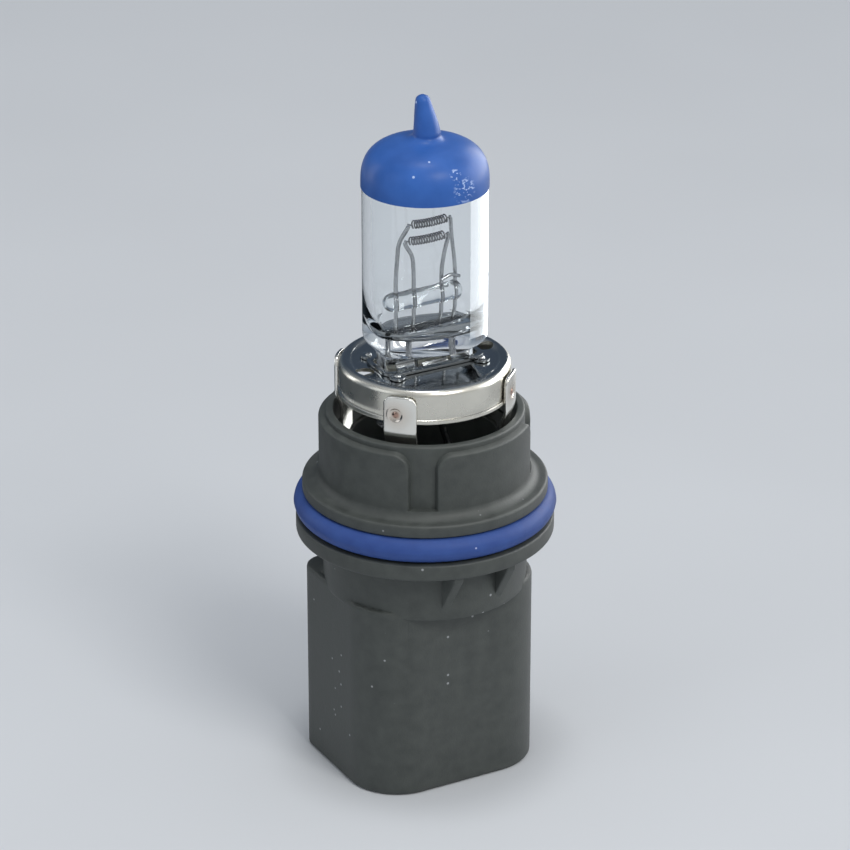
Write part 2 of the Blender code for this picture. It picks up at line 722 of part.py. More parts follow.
def wedge(name, half_x, points):
    """A straight bar across X whose side view is the outline of (y, z) points."""
    return solid(name, [[Vector((x, y, z)) for y, z in points] for x in (-half_x, half_x)])


def moved(obj, x):
    obj.data.transform(Matrix.Translation(Vector((x * MM, 0, 0))))
    return obj


def connector_details():
    """The latch ramp, its guide ribs and the gussets under the collar."""
    face = SHROUD_HALF_Y - 0.5
    ramp = [(face + height, z) for height, z in LATCH_PROFILE]
    details = [wedge("latch_ramp", LATCH_HALF_WIDTH, ramp)]
    rib = [(face + height, z) for height, z in RIB_PROFILE]
    for x in RIB_PLACES:
        details.append(moved(wedge("guide_rib", RIB_HALF_WIDTH, rib), x))
    for side in (-1, 1):
        root = side * (NECK_RADIUS - 1.0)
        outer = side * (COLLAR_RADIUS - 0.8)
        gusset = [(root, COLLAR_BOTTOM + 0.3), (outer, COLLAR_BOTTOM + 0.3)]
        gusset += [(outer, COLLAR_BOTTOM - 0.6), (root, NECK_BOTTOM + 1.0)]
        for x in GUSSET_PLACES:
            details.append(moved(wedge("gusset", GUSSET_HALF_WIDTH, gusset), x))
    return details


def make_base_housing(look):
    base = housing_core()
    shroud = solid("shroud", [shroud_outline(0, SHROUD_TOP), shroud_outline(0, SHROUD_BOTTOM)])
    unite(base, *key_pads(), shroud, *connector_details())
    levels = (SHROUD_BOTTOM - 1, SOCKET_FLOOR)
    cut(base, solid("socket", [shroud_outline(SHROUD_WALL, z) for z in levels]))
    for place in BLADE_PLACES.values():
        half_x = BLADE_HALF_WIDTH + BLADE_CLEARANCE
        half_y = BLADE_HALF_THICKNESS + BLADE_CLEARANCE
        levels = (SOCKET_FLOOR - 1, CAVITY_FLOOR + 1)
        cut(base, solid("blade_slot", [rectangle(half_x, half_y, z, place) for z in levels]))
    return finish(base, look)


def make_sealing_ring(look):
    section = arc(SEAL_CENTRE_RADIUS, SEAL_Z, SEAL_RADIUS, 0, 330, 11)
    return finish(turned("sealing_ring", section, BASE_SEGMENTS, looped=True), look, 60)


# ---------------------------------------------------------------- terminals


def make_terminals(look):
    for name, place in BLADE_PLACES.items():
        taper = 1.0
        rings = [
            rectangle(BLADE_HALF_WIDTH - 0.5, BLADE_HALF_THICKNESS - 0.2, BLADE_TIP, place),
            rectangle(BLADE_HALF_WIDTH, BLADE_HALF_THICKNESS, BLADE_TIP + taper, place),
            rectangle(BLADE_HALF_WIDTH, BLADE_HALF_THICKNESS, BLADE_TOP, place),
        ]
        finish(solid(name + "_terminal", rings), look)


def make_terminal_seal(look):
    """The potting compound on the cavity's floor, cast round the three blades."""
    gap = 0.06
    radius = BORE_RADIUS - gap
    levels = (CAVITY_FLOOR + gap, POTTING_TOP)
    seal = solid("terminal_seal", [oval(radius, radius, z, count=BASE_SEGMENTS) for z in levels])
    for place in BLADE_PLACES.values():
        half_x = BLADE_HALF_WIDTH + BLADE_CLEARANCE
        half_y = BLADE_HALF_THICKNESS + BLADE_CLEARANCE
        through = (CAVITY_FLOOR - 1, POTTING_TOP + 1)
        cut(seal, solid("blade_hole", [rectangle(half_x, half_y, z, place) for z in through]))
    return finish(seal, look)


def main():
    clear_scene()
    add_seating_plane()
    clear_glass = material("clear_glass", (0.92, 0.95, 0.97), 0.02, transmission=0.95)
    blue_coating = material("blue_coating", (0.03, 0.12, 0.52), 0.2)
    tungsten = material("tungsten", (0.25, 0.25, 0.26), 0.35, metallic=1.0)
    lead_wire = material("lead_wire", (0.42, 0.42, 0.41), 0.35, metallic=1.0)
    foil_metal = material("foil_metal", (0.5, 0.49, 0.47), 0.4, metallic=1.0)
    satin_steel = material("satin_steel", (0.62, 0.6, 0.54), 0.3, metallic=1.0)
    clip_steel = material("clip_steel", (0.5, 0.5, 0.48), 0.3, metallic=1.0)
    black_plastic = material("black_plastic", (0.045, 0.048, 0.05), 0.55)
    blue_silicone = material("blue_silicone", (0.03, 0.07, 0.38), 0.4)
    tinned_brass = material("tinned_brass", (0.62, 0.6, 0.55), 0.3, metallic=1.0)
    potting = material("potting", (0.03, 0.03, 0.035), 0.4)

    make_glass_envelope(clear_glass)
    make_glare_coating(blue_coating)
    make_filaments(tungsten)
    make_leads(lead_wire)
    make_crosspiece(lead_wire)
    make_glass_bridge(clear_glass)
    make_foils(foil_metal)
    make_outer_leads(lead_wire)
    make_capsule_cup(satin_steel)
    make_seal_clip(clip_steel)
    make_mounting_ring(satin_steel)
    make_base_housing(black_plastic)
    make_sealing_ring(blue_silicone)
    make_terminals(tinned_brass)
    make_terminal_seal(potting)


main()
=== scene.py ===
"""Looks of the two-beam halogen headlight bulb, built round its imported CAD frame.

Lengths are in millimetres, and heights are measured from the bulb's seating plane, until a mesh is made.
"""

import json
import math

import bmesh
import bpy
from mathutils import Matrix, Vector


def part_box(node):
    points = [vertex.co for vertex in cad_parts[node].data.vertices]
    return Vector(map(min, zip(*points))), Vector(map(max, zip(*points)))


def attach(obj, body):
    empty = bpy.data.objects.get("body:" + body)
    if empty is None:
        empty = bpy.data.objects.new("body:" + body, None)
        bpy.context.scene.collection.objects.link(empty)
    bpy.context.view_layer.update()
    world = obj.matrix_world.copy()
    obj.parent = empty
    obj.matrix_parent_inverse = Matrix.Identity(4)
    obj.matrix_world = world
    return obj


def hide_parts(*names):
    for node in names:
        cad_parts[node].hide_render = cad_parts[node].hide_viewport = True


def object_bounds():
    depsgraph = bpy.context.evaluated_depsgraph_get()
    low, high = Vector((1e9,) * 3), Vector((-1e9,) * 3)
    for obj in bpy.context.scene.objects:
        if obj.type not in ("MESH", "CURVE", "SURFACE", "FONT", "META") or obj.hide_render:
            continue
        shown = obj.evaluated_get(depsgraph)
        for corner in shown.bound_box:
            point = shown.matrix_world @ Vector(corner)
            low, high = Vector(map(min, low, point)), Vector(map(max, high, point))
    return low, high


MM = 0.001
BODY = "root"

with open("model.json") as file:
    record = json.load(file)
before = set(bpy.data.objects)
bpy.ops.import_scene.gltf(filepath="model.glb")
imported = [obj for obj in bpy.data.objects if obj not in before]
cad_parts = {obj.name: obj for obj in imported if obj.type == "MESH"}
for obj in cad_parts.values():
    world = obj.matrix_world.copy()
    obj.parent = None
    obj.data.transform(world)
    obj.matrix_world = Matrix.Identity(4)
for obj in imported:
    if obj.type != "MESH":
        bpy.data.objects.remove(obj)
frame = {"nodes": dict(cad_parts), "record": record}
cad_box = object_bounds()


# ---------------- sizes read from the frame


def mount(name):
    return next(m for m in frame["record"]["mounts"] if m["name"] == name)


SEAT_HEIGHT = mount("seating_face")["pos_m"][2] / MM
LIFT = Vector((0, 0, SEAT_HEIGHT))


def extent(node):
    """A node's lowest and highest corners in millimetres, heights from the seating plane."""
    low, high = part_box(node)
    return low / MM - LIFT, high / MM - LIFT


def half_width(node):
    low, high = extent(node)
    return (high.x - low.x) / 2


GLASS_LOW, GLASS_HIGH = extent("glass_envelope")
GLASS_RADIUS = half_width("glass_envelope") / math.cos(math.pi / 32)
COATING_BOTTOM = extent("glare_coating")[0].z
TIP_TOP = GLASS_HIGH.z
CUP_LOW, CUP_HIGH = extent("capsule_cup")
BASE_LOW, BASE_HIGH = extent("base_housing")
RING_LOW, RING_HIGH = extent("mounting_ring")
SEAL_LOW, SEAL_HIGH = extent("sealing_ring")
BRIDGE_LOW, BRIDGE_HIGH = extent("glass_bridge")
CLIP_LOW, CLIP_HIGH = extent("seal_clip")
POTTING_LOW, POTTING_HIGH = extent("terminal_seal")


# ---------------- fixed shape details

GLASS_WALL = 1.15
TUBE_STEP = 1.5
SHOULDER_TOP = 18.4
SHOULDER_BOTTOM = 16.4
PRESS_HALF_WIDTH = 5.9
PRESS_HALF_THICKNESS = 1.45
DOME_START = 36.85
DOME_TOP = 42.15
DOME_POWER = 2.95
TIP_FOOT_RADIUS = 2.25
TIP_FOOT_HEIGHT = 0.75
TIP_BASE_RADIUS = 1.48
TIP_END_RADIUS = 0.6
TIP_CREASE = 0.06
TIP_CROWN_START = 0.88
TIP_OFFSET = Vector((0.19, -0.11))
TIP_LEAN = Vector((-0.42, 0.24))
CAVITY_FOOT = 18.9
CAVITY_FULL_HEIGHT = 24.0
CAVITY_FOOT_HALF_X = 4.4
CAVITY_FOOT_HALF_Y = 0.5
CAVITY_CROWN_RADIUS = 0.7
COATING_GAP = 0.02
COATING_THICKNESS = 0.1
# Places and reaches of the coating's two patches of pale flecks
PALE_PATCHES = (((1.2, -7.2, 38.2), 1.7), ((0.2, -6.9, 40.2), 0.8))

COIL_RADIUS = 0.45
COIL_WIRE = 0.1
COIL_TURNS = 13
COIL_LENGTH = 4.4
COIL_LEG = 0.7
COIL_LEG_BEND = 0.12
COIL_SAG = 0.12
LEAD_RADIUS = 0.25
POST_BEND_Z = 26.0
POST_KNEE_DROP = 1.9

CUP_SHEET = 0.45
CUP_CORNER = 0.8
CUP_RADIUS = 10.15
CUP_SLOT_HALF_X = 6.35
CUP_SLOT_HALF_Y = 2.5
CUP_HOLE_X = 7.95
CUP_HOLE_RADIUS = 1.1
CUP_DISH = 0.25
CUP_FLOOR_RADIUS = 7.6
CUP_BEAD_RADIUS = 0.14
# Steps outwards from the cup's wall and up from its bottom edge, over the bead and the groove above it
CUP_GROOVE = ((0.08, 0.52), (-0.05, 0.6), (-0.06, 0.7), (0.0, 0.84), (0.0, 1.4))
# Steps inwards from the cup's rim and down into its dished plate
CUP_RIM_STEP = ((0.35, 0.02), (0.6, 0.12), (0.85, 0.23), (1.1, CUP_DISH))
CLIP_SHEET = 0.3
CLIP_HALF_X = 6.75
CLIP_OPENING_HALF_X = 6.15
CLIP_OPENING_HALF_Y = 2.3
EAR_X = 5.6
EAR_RADIUS = 0.95
EAR_INSET = 0.02
EAR_OVERLAP = 0.65
STRIP_BEVEL = 0.06
FINGER_X = 3.6
FINGER_WIDTH = 2.4
FINGER_GAP = 0.04
LIP_WIDTH = 3.4
# The clip's four corners: each ear's place along X, and its side along Y
CLIP_CORNERS = ((-EAR_X, -1), (-EAR_X, 1), (EAR_X, -1), (EAR_X, 1))
TAB_WIDTH = 4.1
TAB_CORNER = 1.25
TAB_SHEET = 0.42
TAB_INNER_RADIUS = 10.3
TAB_LEAN = 0.6
TAB_BEND_Z = 10.3
TAB_BEND_HEIGHT = 2.4
WELD_Z = 12.2
WELD_RADIUS = 0.86
WELD_SHIFT = -0.45
WELD_DENT = 0.15
WELD_RIM_WIDTH = 0.25
WELD_RIM_HEIGHT = 0.035
NUGGET_RADIUS = 0.42
NUGGET_HEIGHT = 0.13
TAB_CROWN = 0.1
RING_INNER_RADIUS = 8.95

BORE_RADIUS = 8.8
RECESS_RADIUS = 10.85
CORE_RADIUS = 11.8
PAD_RADIUS = 12.6
PAD_TOP = 8.0
PAD_CORNER = 2.0
# Each keyway's direction in degrees, and its width
KEYWAYS = {105: 5.0, 240: 3.3, 330: 3.3}
KEYWAY_LEDGE = 1.0
# The steep part of a pad's edge, its share of the pad's height, and the rounding above it
PAD_WALL = 0.1
PAD_WALL_SHARE = 0.6
PAD_ROUNDING = 0.3
FLANGE_FILLET = 1.2
FLANGE_RADIUS = 14.6
FLANGE_ROUNDING = 0.7
FLANGE_THICKNESS = 1.5
GROOVE_RADIUS = 12.55
GROOVE_BOTTOM = -4.7
COLLAR_RADIUS = 15.4
COLLAR_BOTTOM = -6.7
NECK_RADIUS = 12.2
NECK_BOTTOM = -13.5
BORE_FLOOR = -12.0
SHROUD_TOP = -12.6
SHROUD_HALF_X = 12.0
SHROUD_HALF_Y = 9.6
SHROUD_ROUND_FRONT = 6.5
SHROUD_ROUND_BACK = 2.5
SHROUD_WALL = 1.7
SOCKET_FLOOR = -16.0
# Side view of the latch ramp: steps out from the shroud's face, and heights
LATCH_RAMP = ((0.0, -28.5), (0.8, -28.5), (2.7, -24.2), (2.7, -23.4), (0.0, -23.0))
LATCH_RAMP_HALF_WIDTH = 3.0
RIB_X = 5.0
RIB_HALF_WIDTH = 0.7
RIB_HEIGHT = 1.8
RIB_TOP = -14.0
GUSSET_X = 3.5
GUSSET_HALF_WIDTH = 0.6
BLADE_HOLE_RADIUS = 0.55
BLADE_HOLE_HEIGHT = 3.2
# A blade's rings: height above its tip, and its shares of the full width and thickness
BLADE_TIP = ((0.0, 0.62, 0.4), (0.5, 0.85, 0.75), (1.1, 1.0, 1.0))


# ---------------- mesh helpers


def make_object(name, shape):
    mesh = bpy.data.meshes.new(name)
    shape.to_mesh(mesh)
    shape.free()
    obj = bpy.data.objects.new(name, mesh)
    bpy.context.scene.collection.objects.link(obj)
    return obj


def skin(name, rings, looped=False):
    """A mesh through equal rings of points, capped at both ends unless looped."""
    shape = bmesh.new()
    rows = [[shape.verts.new((Vector(p) + LIFT) * MM) for p in ring] for ring in rings]
    pairs = list(zip(rows, rows[1:]))
    faces = []
    if looped:
        pairs.append((rows[-1], rows[0]))
    else:
        faces += [shape.faces.new(rows[0]), shape.faces.new(rows[-1])]
    count = len(rows[0])
    for lower, upper in pairs:
        for i in range(count):
            j = (i + 1) % count
            faces.append(shape.faces.new((lower[i], lower[j], upper[j], upper[i])))
    bmesh.ops.recalc_face_normals(shape, faces=faces)
    return make_object(name, shape)


def combine(target, other, operation):
    modifier = target.modifiers.new(operation, "BOOLEAN")
    modifier.operation = operation
    modifier.object = other
    apply_modifiers(target)
    bpy.data.objects.remove(other, do_unlink=True)


def apply_modifiers(obj):
    bpy.context.view_layer.update()
    graph = bpy.context.evaluated_depsgraph_get()
    result = bpy.data.meshes.new_from_object(obj.evaluated_get(graph))
    obj.modifiers.clear()
    obj.data = result


def bevel(obj, width, segments, angle):
    modifier = obj.modifiers.new("edges", "BEVEL")
    modifier.width = width * MM
    modifier.segments = segments
    modifier.limit_method = "ANGLE"
    modifier.angle_limit = math.radians(angle)
    apply_modifiers(obj)


def finish(obj, look, node, smooth_angle=35):
    """Gives a piece its material and shading, fixes it to the body and hides the CAD it stands for."""
    obj.data.materials.clear()
    obj.data.materials.append(look)
    obj.data.shade_smooth()
    obj.data.set_sharp_from_angle(angle=math.radians(smooth_angle))
    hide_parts(node)
    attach(obj, BODY)


# ---------------- outlines


def polar(radius, angle, z):
    return Vector((radius * math.cos(angle), radius * math.sin(angle), z))


def oval(half_x, half_y, z, power=2.0, centre=(0.0, 0.0), count=128):
    ring = []
    for i in range(count):
        turn = 2 * math.pi * (i + 0.5) / count
        along, across = math.cos(turn), math.sin(turn)
        x = math.copysign(abs(along) ** (2 / power), along) * half_x
        y = math.copysign(abs(across) ** (2 / power), across) * half_y
        ring.append(Vector((centre[0] + x, centre[1] + y, z)))
    return ring


def rectangle(half_x, half_y, z, centre):
    corners = ((1, 1), (-1, 1), (-1, -1), (1, -1))
    return [Vector((centre[0] + sx * half_x, centre[1] + sy * half_y, z)) for sx, sy in corners]


def arc(centre_r, centre_z, radius, start, end, steps):
    angles = [math.radians(start + (end - start) * i / steps) for i in range(steps + 1)]
    return [(centre_r + radius * math.cos(a), centre_z + radius * math.sin(a)) for a in angles]


def rounded_path(corners, radius, steps=6):
    """The straight path through the corners, each inner corner rounded. radius is one number or one each."""
    path = [corners[0]]
    for i, (before, corner, after) in enumerate(zip(corners, corners[1:], corners[2:])):
        wanted = radius if isinstance(radius, (int, float)) else radius[i]
        reach = min(wanted, (corner - before).length / 2.1, (after - corner).length / 2.1)
        start = corner + (before - corner).normalized() * reach
        end = corner + (after - corner).normalized() * reach
        for step in range(steps + 1):
            t = step / steps
            path.append(start * (1 - t) ** 2 + corner * 2 * t * (1 - t) + end * t * t)
    path.append(corners[-1])
    return path


def turned(name, profile, segments, looped=False):
    return skin(name, [oval(r, r, z, count=segments) for r, z in profile], looped)


def wire_rings(path, radius, sides):
    """Rings round a wire's path. radius is a number, or a function of the share of the way along."""
    rings = []
    side = Vector((0.0, 1.0, 0.0))
    last = len(path) - 1
    for i, point in enumerate(path):
        along = (path[min(i + 1, last)] - path[max(i - 1, 0)]).normalized()
        side = (side - along * side.dot(along)).normalized()
        up = along.cross(side)
        size = radius(i / last) if callable(radius) else radius
        turns = [2 * math.pi * (k + 0.5) / sides for k in range(sides)]
        rings.append([point + (side * math.cos(t) + up * math.sin(t)) * size for t in turns])
    return rings


def smooth_step(t):
    t = min(max(t, 0.0), 1.0)
    return t * t * (3 - 2 * t)


# ---------------- materials


def set_inputs(tree, node, **inputs):
    """Links or fills a node's inputs. A name is the label with _ for a space, or _0, _1 for its number."""
    for key, value in inputs.items():
        numbered = key[0] == "_"
        socket = node.inputs[int(key[1:])] if numbered else node.inputs[key.replace("_", " ")]
        if isinstance(value, bpy.types.NodeSocket):
            tree.links.new(value, socket)
        else:
            socket.default_value = value


def add_node(tree, kind, settings=None, **inputs):
    made = tree.nodes.new(kind)
    for key, value in (settings or {}).items():
        setattr(made, key, value)
    set_inputs(tree, made, **inputs)
    return made


def new_material(name):
    made = bpy.data.materials.new(name)
    made.use_nodes = True
    tree = made.node_tree
    shader = tree.nodes["Principled BSDF"]
    return made, tree, shader


def place(tree):
    return add_node(tree, "ShaderNodeTexCoord").outputs["Object"]


def noise(tree, size, detail, stretch=None):
    """Noise whose patches measure about size millimetres."""
    where = place(tree)
    if stretch:
        where = add_node(tree, "ShaderNodeMapping", Vector=where, Scale=stretch).outputs[0]
    scale = 1 / (size * MM)
    return add_node(tree, "ShaderNodeTexNoise", Vector=where, Scale=scale, Detail=detail).outputs[0]


def ramp(tree, value, *stops):
    """Maps a value through (position, colour) stops."""
    made = add_node(tree, "ShaderNodeValToRGB", Fac=value)
    elements = made.color_ramp.elements
    while len(elements) < len(stops):
        elements.new(0.5)
    for element, (position, colour) in zip(elements, stops):
        element.position = position
        element.color = (*colour, 1.0)
    return made.outputs[0]


def scaled(tree, value, low, high, low_out, high_out):
    ends = {"From_Min": low, "From_Max": high, "To_Min": low_out, "To_Max": high_out}
    return add_node(tree, "ShaderNodeMapRange", Value=value, **ends).outputs[0]


def mix_colours(tree, factor, first, second):
    made = add_node(tree, "ShaderNodeMix", {"data_type": "RGBA"}, _0=factor)
    first, second = [c if isinstance(c, bpy.types.NodeSocket) else (*c, 1.0) for c in (first, second)]
    set_inputs(tree, made, _6=first, _7=second)
    return made.outputs[2]


def math_node(tree, operation, first, second=0.0, third=0.0):
    made = add_node(tree, "ShaderNodeMath", {"operation": operation}, _0=first, _1=second, _2=third)
    return made.outputs[0]


def distance_to(tree, x, y, z):
    """Millimetres from a point given in millimetres, its height from the seating plane."""
    point = (Vector((x, y, z)) + LIFT) * MM
    gap = add_node(tree, "ShaderNodeVectorMath", {"operation": "DISTANCE"}, _0=place(tree), _1=point)
    return math_node(tree, "MULTIPLY", gap.outputs["Value"], 1 / MM)


def bump(tree, shader, height, depth, strength):
    """Bump whose full height is depth millimetres."""
    made = add_node(tree, "ShaderNodeBump", Height=height, Distance=depth * MM, Strength=strength)
    tree.links.new(made.outputs[0], shader.inputs["Normal"])


def specks(tree, size, share):
    """1 on small scattered specks and 0 between them."""
    spots = add_node(tree, "ShaderNodeTexVoronoi", Vector=place(tree), Scale=1 / (size * MM))
    seed = add_node(tree, "ShaderNodeSeparateColor", Color=spots.outputs["Color"]).outputs[0]
    chosen = math_node(tree, "LESS_THAN", seed, share)
    near = scaled(tree, spots.outputs["Distance"], 0.1, 0.17, 1.0, 0.0)
    return math_node(tree, "MULTIPLY", chosen, near)


def glass_material():
    made, tree, shader = new_material("clear_glass")
    tree.nodes.remove(shader)
    output = tree.nodes["Material Output"]
    ripple = noise(tree, 4.0, 1.0)
    slight = add_node(tree, "ShaderNodeBump", Height=ripple, Distance=0.03 * MM, Strength=0.35)
    glass = add_node(
        tree, "ShaderNodeBsdfGlass", Color=(0.985, 0.995, 1.0, 1.0), Roughness=0.0, IOR=1.46,
        Normal=slight.outputs[0],
    )
    clear = add_node(tree, "ShaderNodeBsdfTransparent", Color=(0.93, 0.95, 0.96, 1.0))
    path = add_node(tree, "ShaderNodeLightPath")
    indirect = math_node(tree, "MAXIMUM", path.outputs["Is Shadow Ray"], path.outputs["Is Diffuse Ray"])
    mixed = add_node(tree, "ShaderNodeMixShader", _0=indirect, _1=glass.outputs[0], _2=clear.outputs[0])
    tree.links.new(mixed.outputs[0], output.inputs["Surface"])
    return made


def coating_material():
    """The baked blue film: satin, a little cloudy, with pale flecks, more of them in two patches low on the
    side that faces out.
    """
    made, tree, shader = new_material("blue_coating")
    cloud = noise(tree, 3.5, 4.0)
    colour = ramp(tree, cloud, (0.3, (0.024, 0.095, 0.35)), (0.7, (0.036, 0.127, 0.44)))
    fleck = specks(tree, 1.1, 0.05)
    patch = noise(tree, 0.42, 1.0, stretch=(1.0, 1.0, 1.6))
    # Pale blue flecks, more of them within each patch's reach.
    for patch_centre, reach in PALE_PATCHES:
        near = scaled(tree, distance_to(tree, *patch_centre), 0.6 * reach, reach, 1.0, 0.0)
        pale_marks = scaled(tree, patch, 0.56, 0.6, 0.0, 0.9)
        fleck = math_node(tree, "MAXIMUM", fleck, math_node(tree, "MULTIPLY", near, pale_marks))
    set_inputs(
        tree, shader, Base_Color=mix_colours(tree, fleck, colour, (0.42, 0.54, 0.82)),
        Roughness=scaled(tree, cloud, 0.3, 0.7, 0.36, 0.46), Specular_IOR_Level=0.22,
        Coat_Weight=0.06, Coat_Roughness=0.25,
    )
    bump(tree, shader, noise(tree, 0.9, 3.0), 0.02, 0.4)
    return made


def wire_material(name, colour, roughness):
    made, tree, shader = new_material(name)
    draw = noise(tree, 0.6, 2.0)
    darker = tuple(0.88 * c for c in colour)
    tone = ramp(tree, draw, (0.3, darker), (0.7, colour))
    polish = scaled(tree, draw, 0.3, 0.7, roughness, roughness + 0.06)
    set_inputs(tree, shader, Base_Color=tone, Metallic=1.0, Roughness=polish)
    bump(tree, shader, draw, 0.008, 0.2)
    return made


def weld_distance(tree):
    """Millimetres from the nearest of the four welds, measured round the bulb and up or down."""
    parts = add_node(tree, "ShaderNodeSeparateXYZ", Vector=place(tree)).outputs
    radius = TAB_INNER_RADIUS + TAB_SHEET
    quarter = math.pi / 2
    turn = math_node(tree, "ARCTAN2", parts[1], parts[0])
    from_tab = math_node(tree, "SUBTRACT", turn, quarter / 2 + WELD_SHIFT / radius)
    across = math_node(tree, "WRAP", from_tab, quarter / 2, -quarter / 2)
    across = math_node(tree, "MULTIPLY", across, radius)
    above = math_node(tree, "MULTIPLY_ADD", parts[2], 1 / MM, -WELD_Z - SEAT_HEIGHT)
    gap = add_node(tree, "ShaderNodeCombineXYZ", X=across, Y=above).outputs[0]
    length = add_node(tree, "ShaderNodeVectorMath", {"operation": "LENGTH"}, _0=gap)
    return length.outputs["Value"]


def steel_material(name, colour, tint, roughness, painted_reflection_colour, plate_roughness):
    """Satin sheet steel, more polished on its level faces, which also get a painted reflection: a darker,
    bluer colour standing in for the dark surroundings they mirror. Heat tint round the welds.
    """
    made, tree, shader = new_material(name)
    cloud = noise(tree, 3.0, 4.0)
    grain = noise(tree, 0.35, 3.0, stretch=(1.0, 1.0, 0.25))
    darker = tuple(0.92 * c for c in colour)
    base = ramp(tree, cloud, (0.3, darker), (0.65, colour))
    normal = add_node(tree, "ShaderNodeNewGeometry").outputs["Normal"]
    upward = add_node(tree, "ShaderNodeSeparateXYZ", Vector=normal).outputs[2]
    level = scaled(tree, upward, 0.75, 0.97, 0.0, 1.0)
    # Painted reflection: level faces take a darker, bluer colour, the dark surroundings they mirror painted
    # in.
    base = mix_colours(tree, level, base, painted_reflection_colour)
    halo = scaled(tree, weld_distance(tree), 0.45, 2.2, 0.5, 0.0)
    base = mix_colours(tree, halo, base, tint)
    nugget = scaled(tree, weld_distance(tree), 0.25, 0.62, 0.85, 0.0)
    base = mix_colours(tree, nugget, base, (0.36, 0.2, 0.15))
    satin = scaled(tree, cloud, 0.35, 0.65, roughness - 0.02, roughness + 0.05)
    polish = math_node(tree, "MULTIPLY", level, roughness - plate_roughness)
    satin = math_node(tree, "SUBTRACT", satin, polish)
    set_inputs(tree, shader, Base_Color=base, Metallic=1.0, Roughness=satin)
    bump(tree, shader, grain, 0.006, 0.35)
    return made


def plastic_material():
    """Matt glass-filled nylon: fine moulded grain, cloudy tone, pale dust specks."""
    made, tree, shader = new_material("black_plastic")
    cloud = noise(tree, 1.6, 6.0)
    grain = noise(tree, 0.22, 2.0)
    dust = specks(tree, 1.1, 0.05)
    tone = ramp(tree, cloud, (0.3, (0.035, 0.041, 0.038)), (0.7, (0.056, 0.064, 0.059)))
    set_inputs(
        tree, shader, Base_Color=mix_colours(tree, dust, tone, (0.3, 0.31, 0.32)),
        Roughness=scaled(tree, cloud, 0.3, 0.7, 0.5, 0.64), Specular_IOR_Level=0.6,
    )
    height = math_node(tree, "ADD", grain, math_node(tree, "MULTIPLY", cloud, 1.5))
    bump(tree, shader, height, 0.04, 0.5)
    return made


def silicone_material():
    made, tree, shader = new_material("blue_silicone")
    cloud = noise(tree, 2.0, 4.0)
    dust = specks(tree, 0.9, 0.05)
    tone = ramp(tree, cloud, (0.3, (0.03, 0.066, 0.24)), (0.7, (0.038, 0.084, 0.285)))
    set_inputs(
        tree, shader, Base_Color=mix_colours(tree, dust, tone, (0.4, 0.45, 0.7)),
        Roughness=scaled(tree, cloud, 0.3, 0.7, 0.48, 0.58), Specular_IOR_Level=0.2,
        Subsurface_Weight=0.05, Subsurface_Radius=(0.0004, 0.0004, 0.001),
    )
    bump(tree, shader, noise(tree, 0.5, 3.0), 0.02, 0.4)
    return made


def potting_material():
    made, tree, shader = new_material("potting")
    cloud = noise(tree, 1.6, 4.0)
    tone = ramp(tree, cloud, (0.3, (0.02, 0.02, 0.022)), (0.7, (0.035, 0.035, 0.038)))
    set_inputs(tree, shader, Base_Color=tone, Roughness=0.35)
    bump(tree, shader, cloud, 0.1, 0.5)
    return made


# ---------------- glass capsule


def dome_rings(bottom, offset):
    """Rings from the bottom height over the dome and up the drawn tip, offset outwards."""
    height = DOME_TOP - DOME_START
    rings = [oval(GLASS_RADIUS + offset, GLASS_RADIUS + offset, bottom)]
    rings += tube_rings(GLASS_RADIUS + offset, bottom, DOME_START)
    steps = 28
    for i in range(steps + 1):
        level = math.sin(0.5 * math.pi * i / steps)
        radius = GLASS_RADIUS * (1 - level**DOME_POWER) ** (1 / DOME_POWER)
        if radius > TIP_FOOT_RADIUS:
            rings.append(oval(radius + offset, radius + offset, DOME_START + (height + offset) * level))
    steps = 7
    for i in range(steps):
        t = i / steps
        flare = (TIP_FOOT_RADIUS - TIP_BASE_RADIUS) * (1 - t) ** 2
        crease = -TIP_CREASE * math.exp(-(((t - 0.75) / 0.2) ** 2))
        radius = TIP_BASE_RADIUS + flare + crease + offset
        z = DOME_TOP + offset + TIP_FOOT_HEIGHT * t**1.3
        rings.append(oval(radius, radius, z, centre=TIP_OFFSET * t))
    steps = 22
    foot = DOME_TOP + TIP_FOOT_HEIGHT
    for i in range(steps + 1):
        t = i / steps
        taper = (TIP_BASE_RADIUS - TIP_END_RADIUS) * t**1.2
        crown = 1.0
        if t >= TIP_CROWN_START:
            crown = math.sqrt(max(1 - ((t - TIP_CROWN_START) / (1 - TIP_CROWN_START)) ** 2, 0.02))
        radius = (TIP_BASE_RADIUS - taper) * crown + offset
        z = foot + offset + (TIP_TOP - foot) * t
        rings.append(oval(radius, radius, z, centre=TIP_OFFSET + TIP_LEAN * smooth_step(t)))
    return rings


def tube_rings(radius, low, high):
    count = max(2, int((high - low) / TUBE_STEP))
    return [oval(radius, radius, low + (high - low) * i / count) for i in range(1, count)]


def press_rings():
    """The press seal with its rounded foot, and the shoulder that swells from it to the round tube."""
    rings = []
    for inset, up in ((0.25, 0.0), (0.06, 0.1), (0.0, 0.3)):
        rings.append(oval(PRESS_HALF_WIDTH - inset, PRESS_HALF_THICKNESS - inset, GLASS_LOW.z + up, power=9))
    steps = 16
    for i in range(steps + 1):
        t = i / steps
        swell = smooth_step(t)
        half_x = PRESS_HALF_WIDTH + (GLASS_RADIUS - PRESS_HALF_WIDTH) * swell
        half_y = PRESS_HALF_THICKNESS + (GLASS_RADIUS - PRESS_HALF_THICKNESS) * swell
        z = SHOULDER_BOTTOM + (SHOULDER_TOP - SHOULDER_BOTTOM) * t
        rings.append(oval(half_x, half_y, z, power=2 + 7 * (1 - swell) ** 2))
    return rings


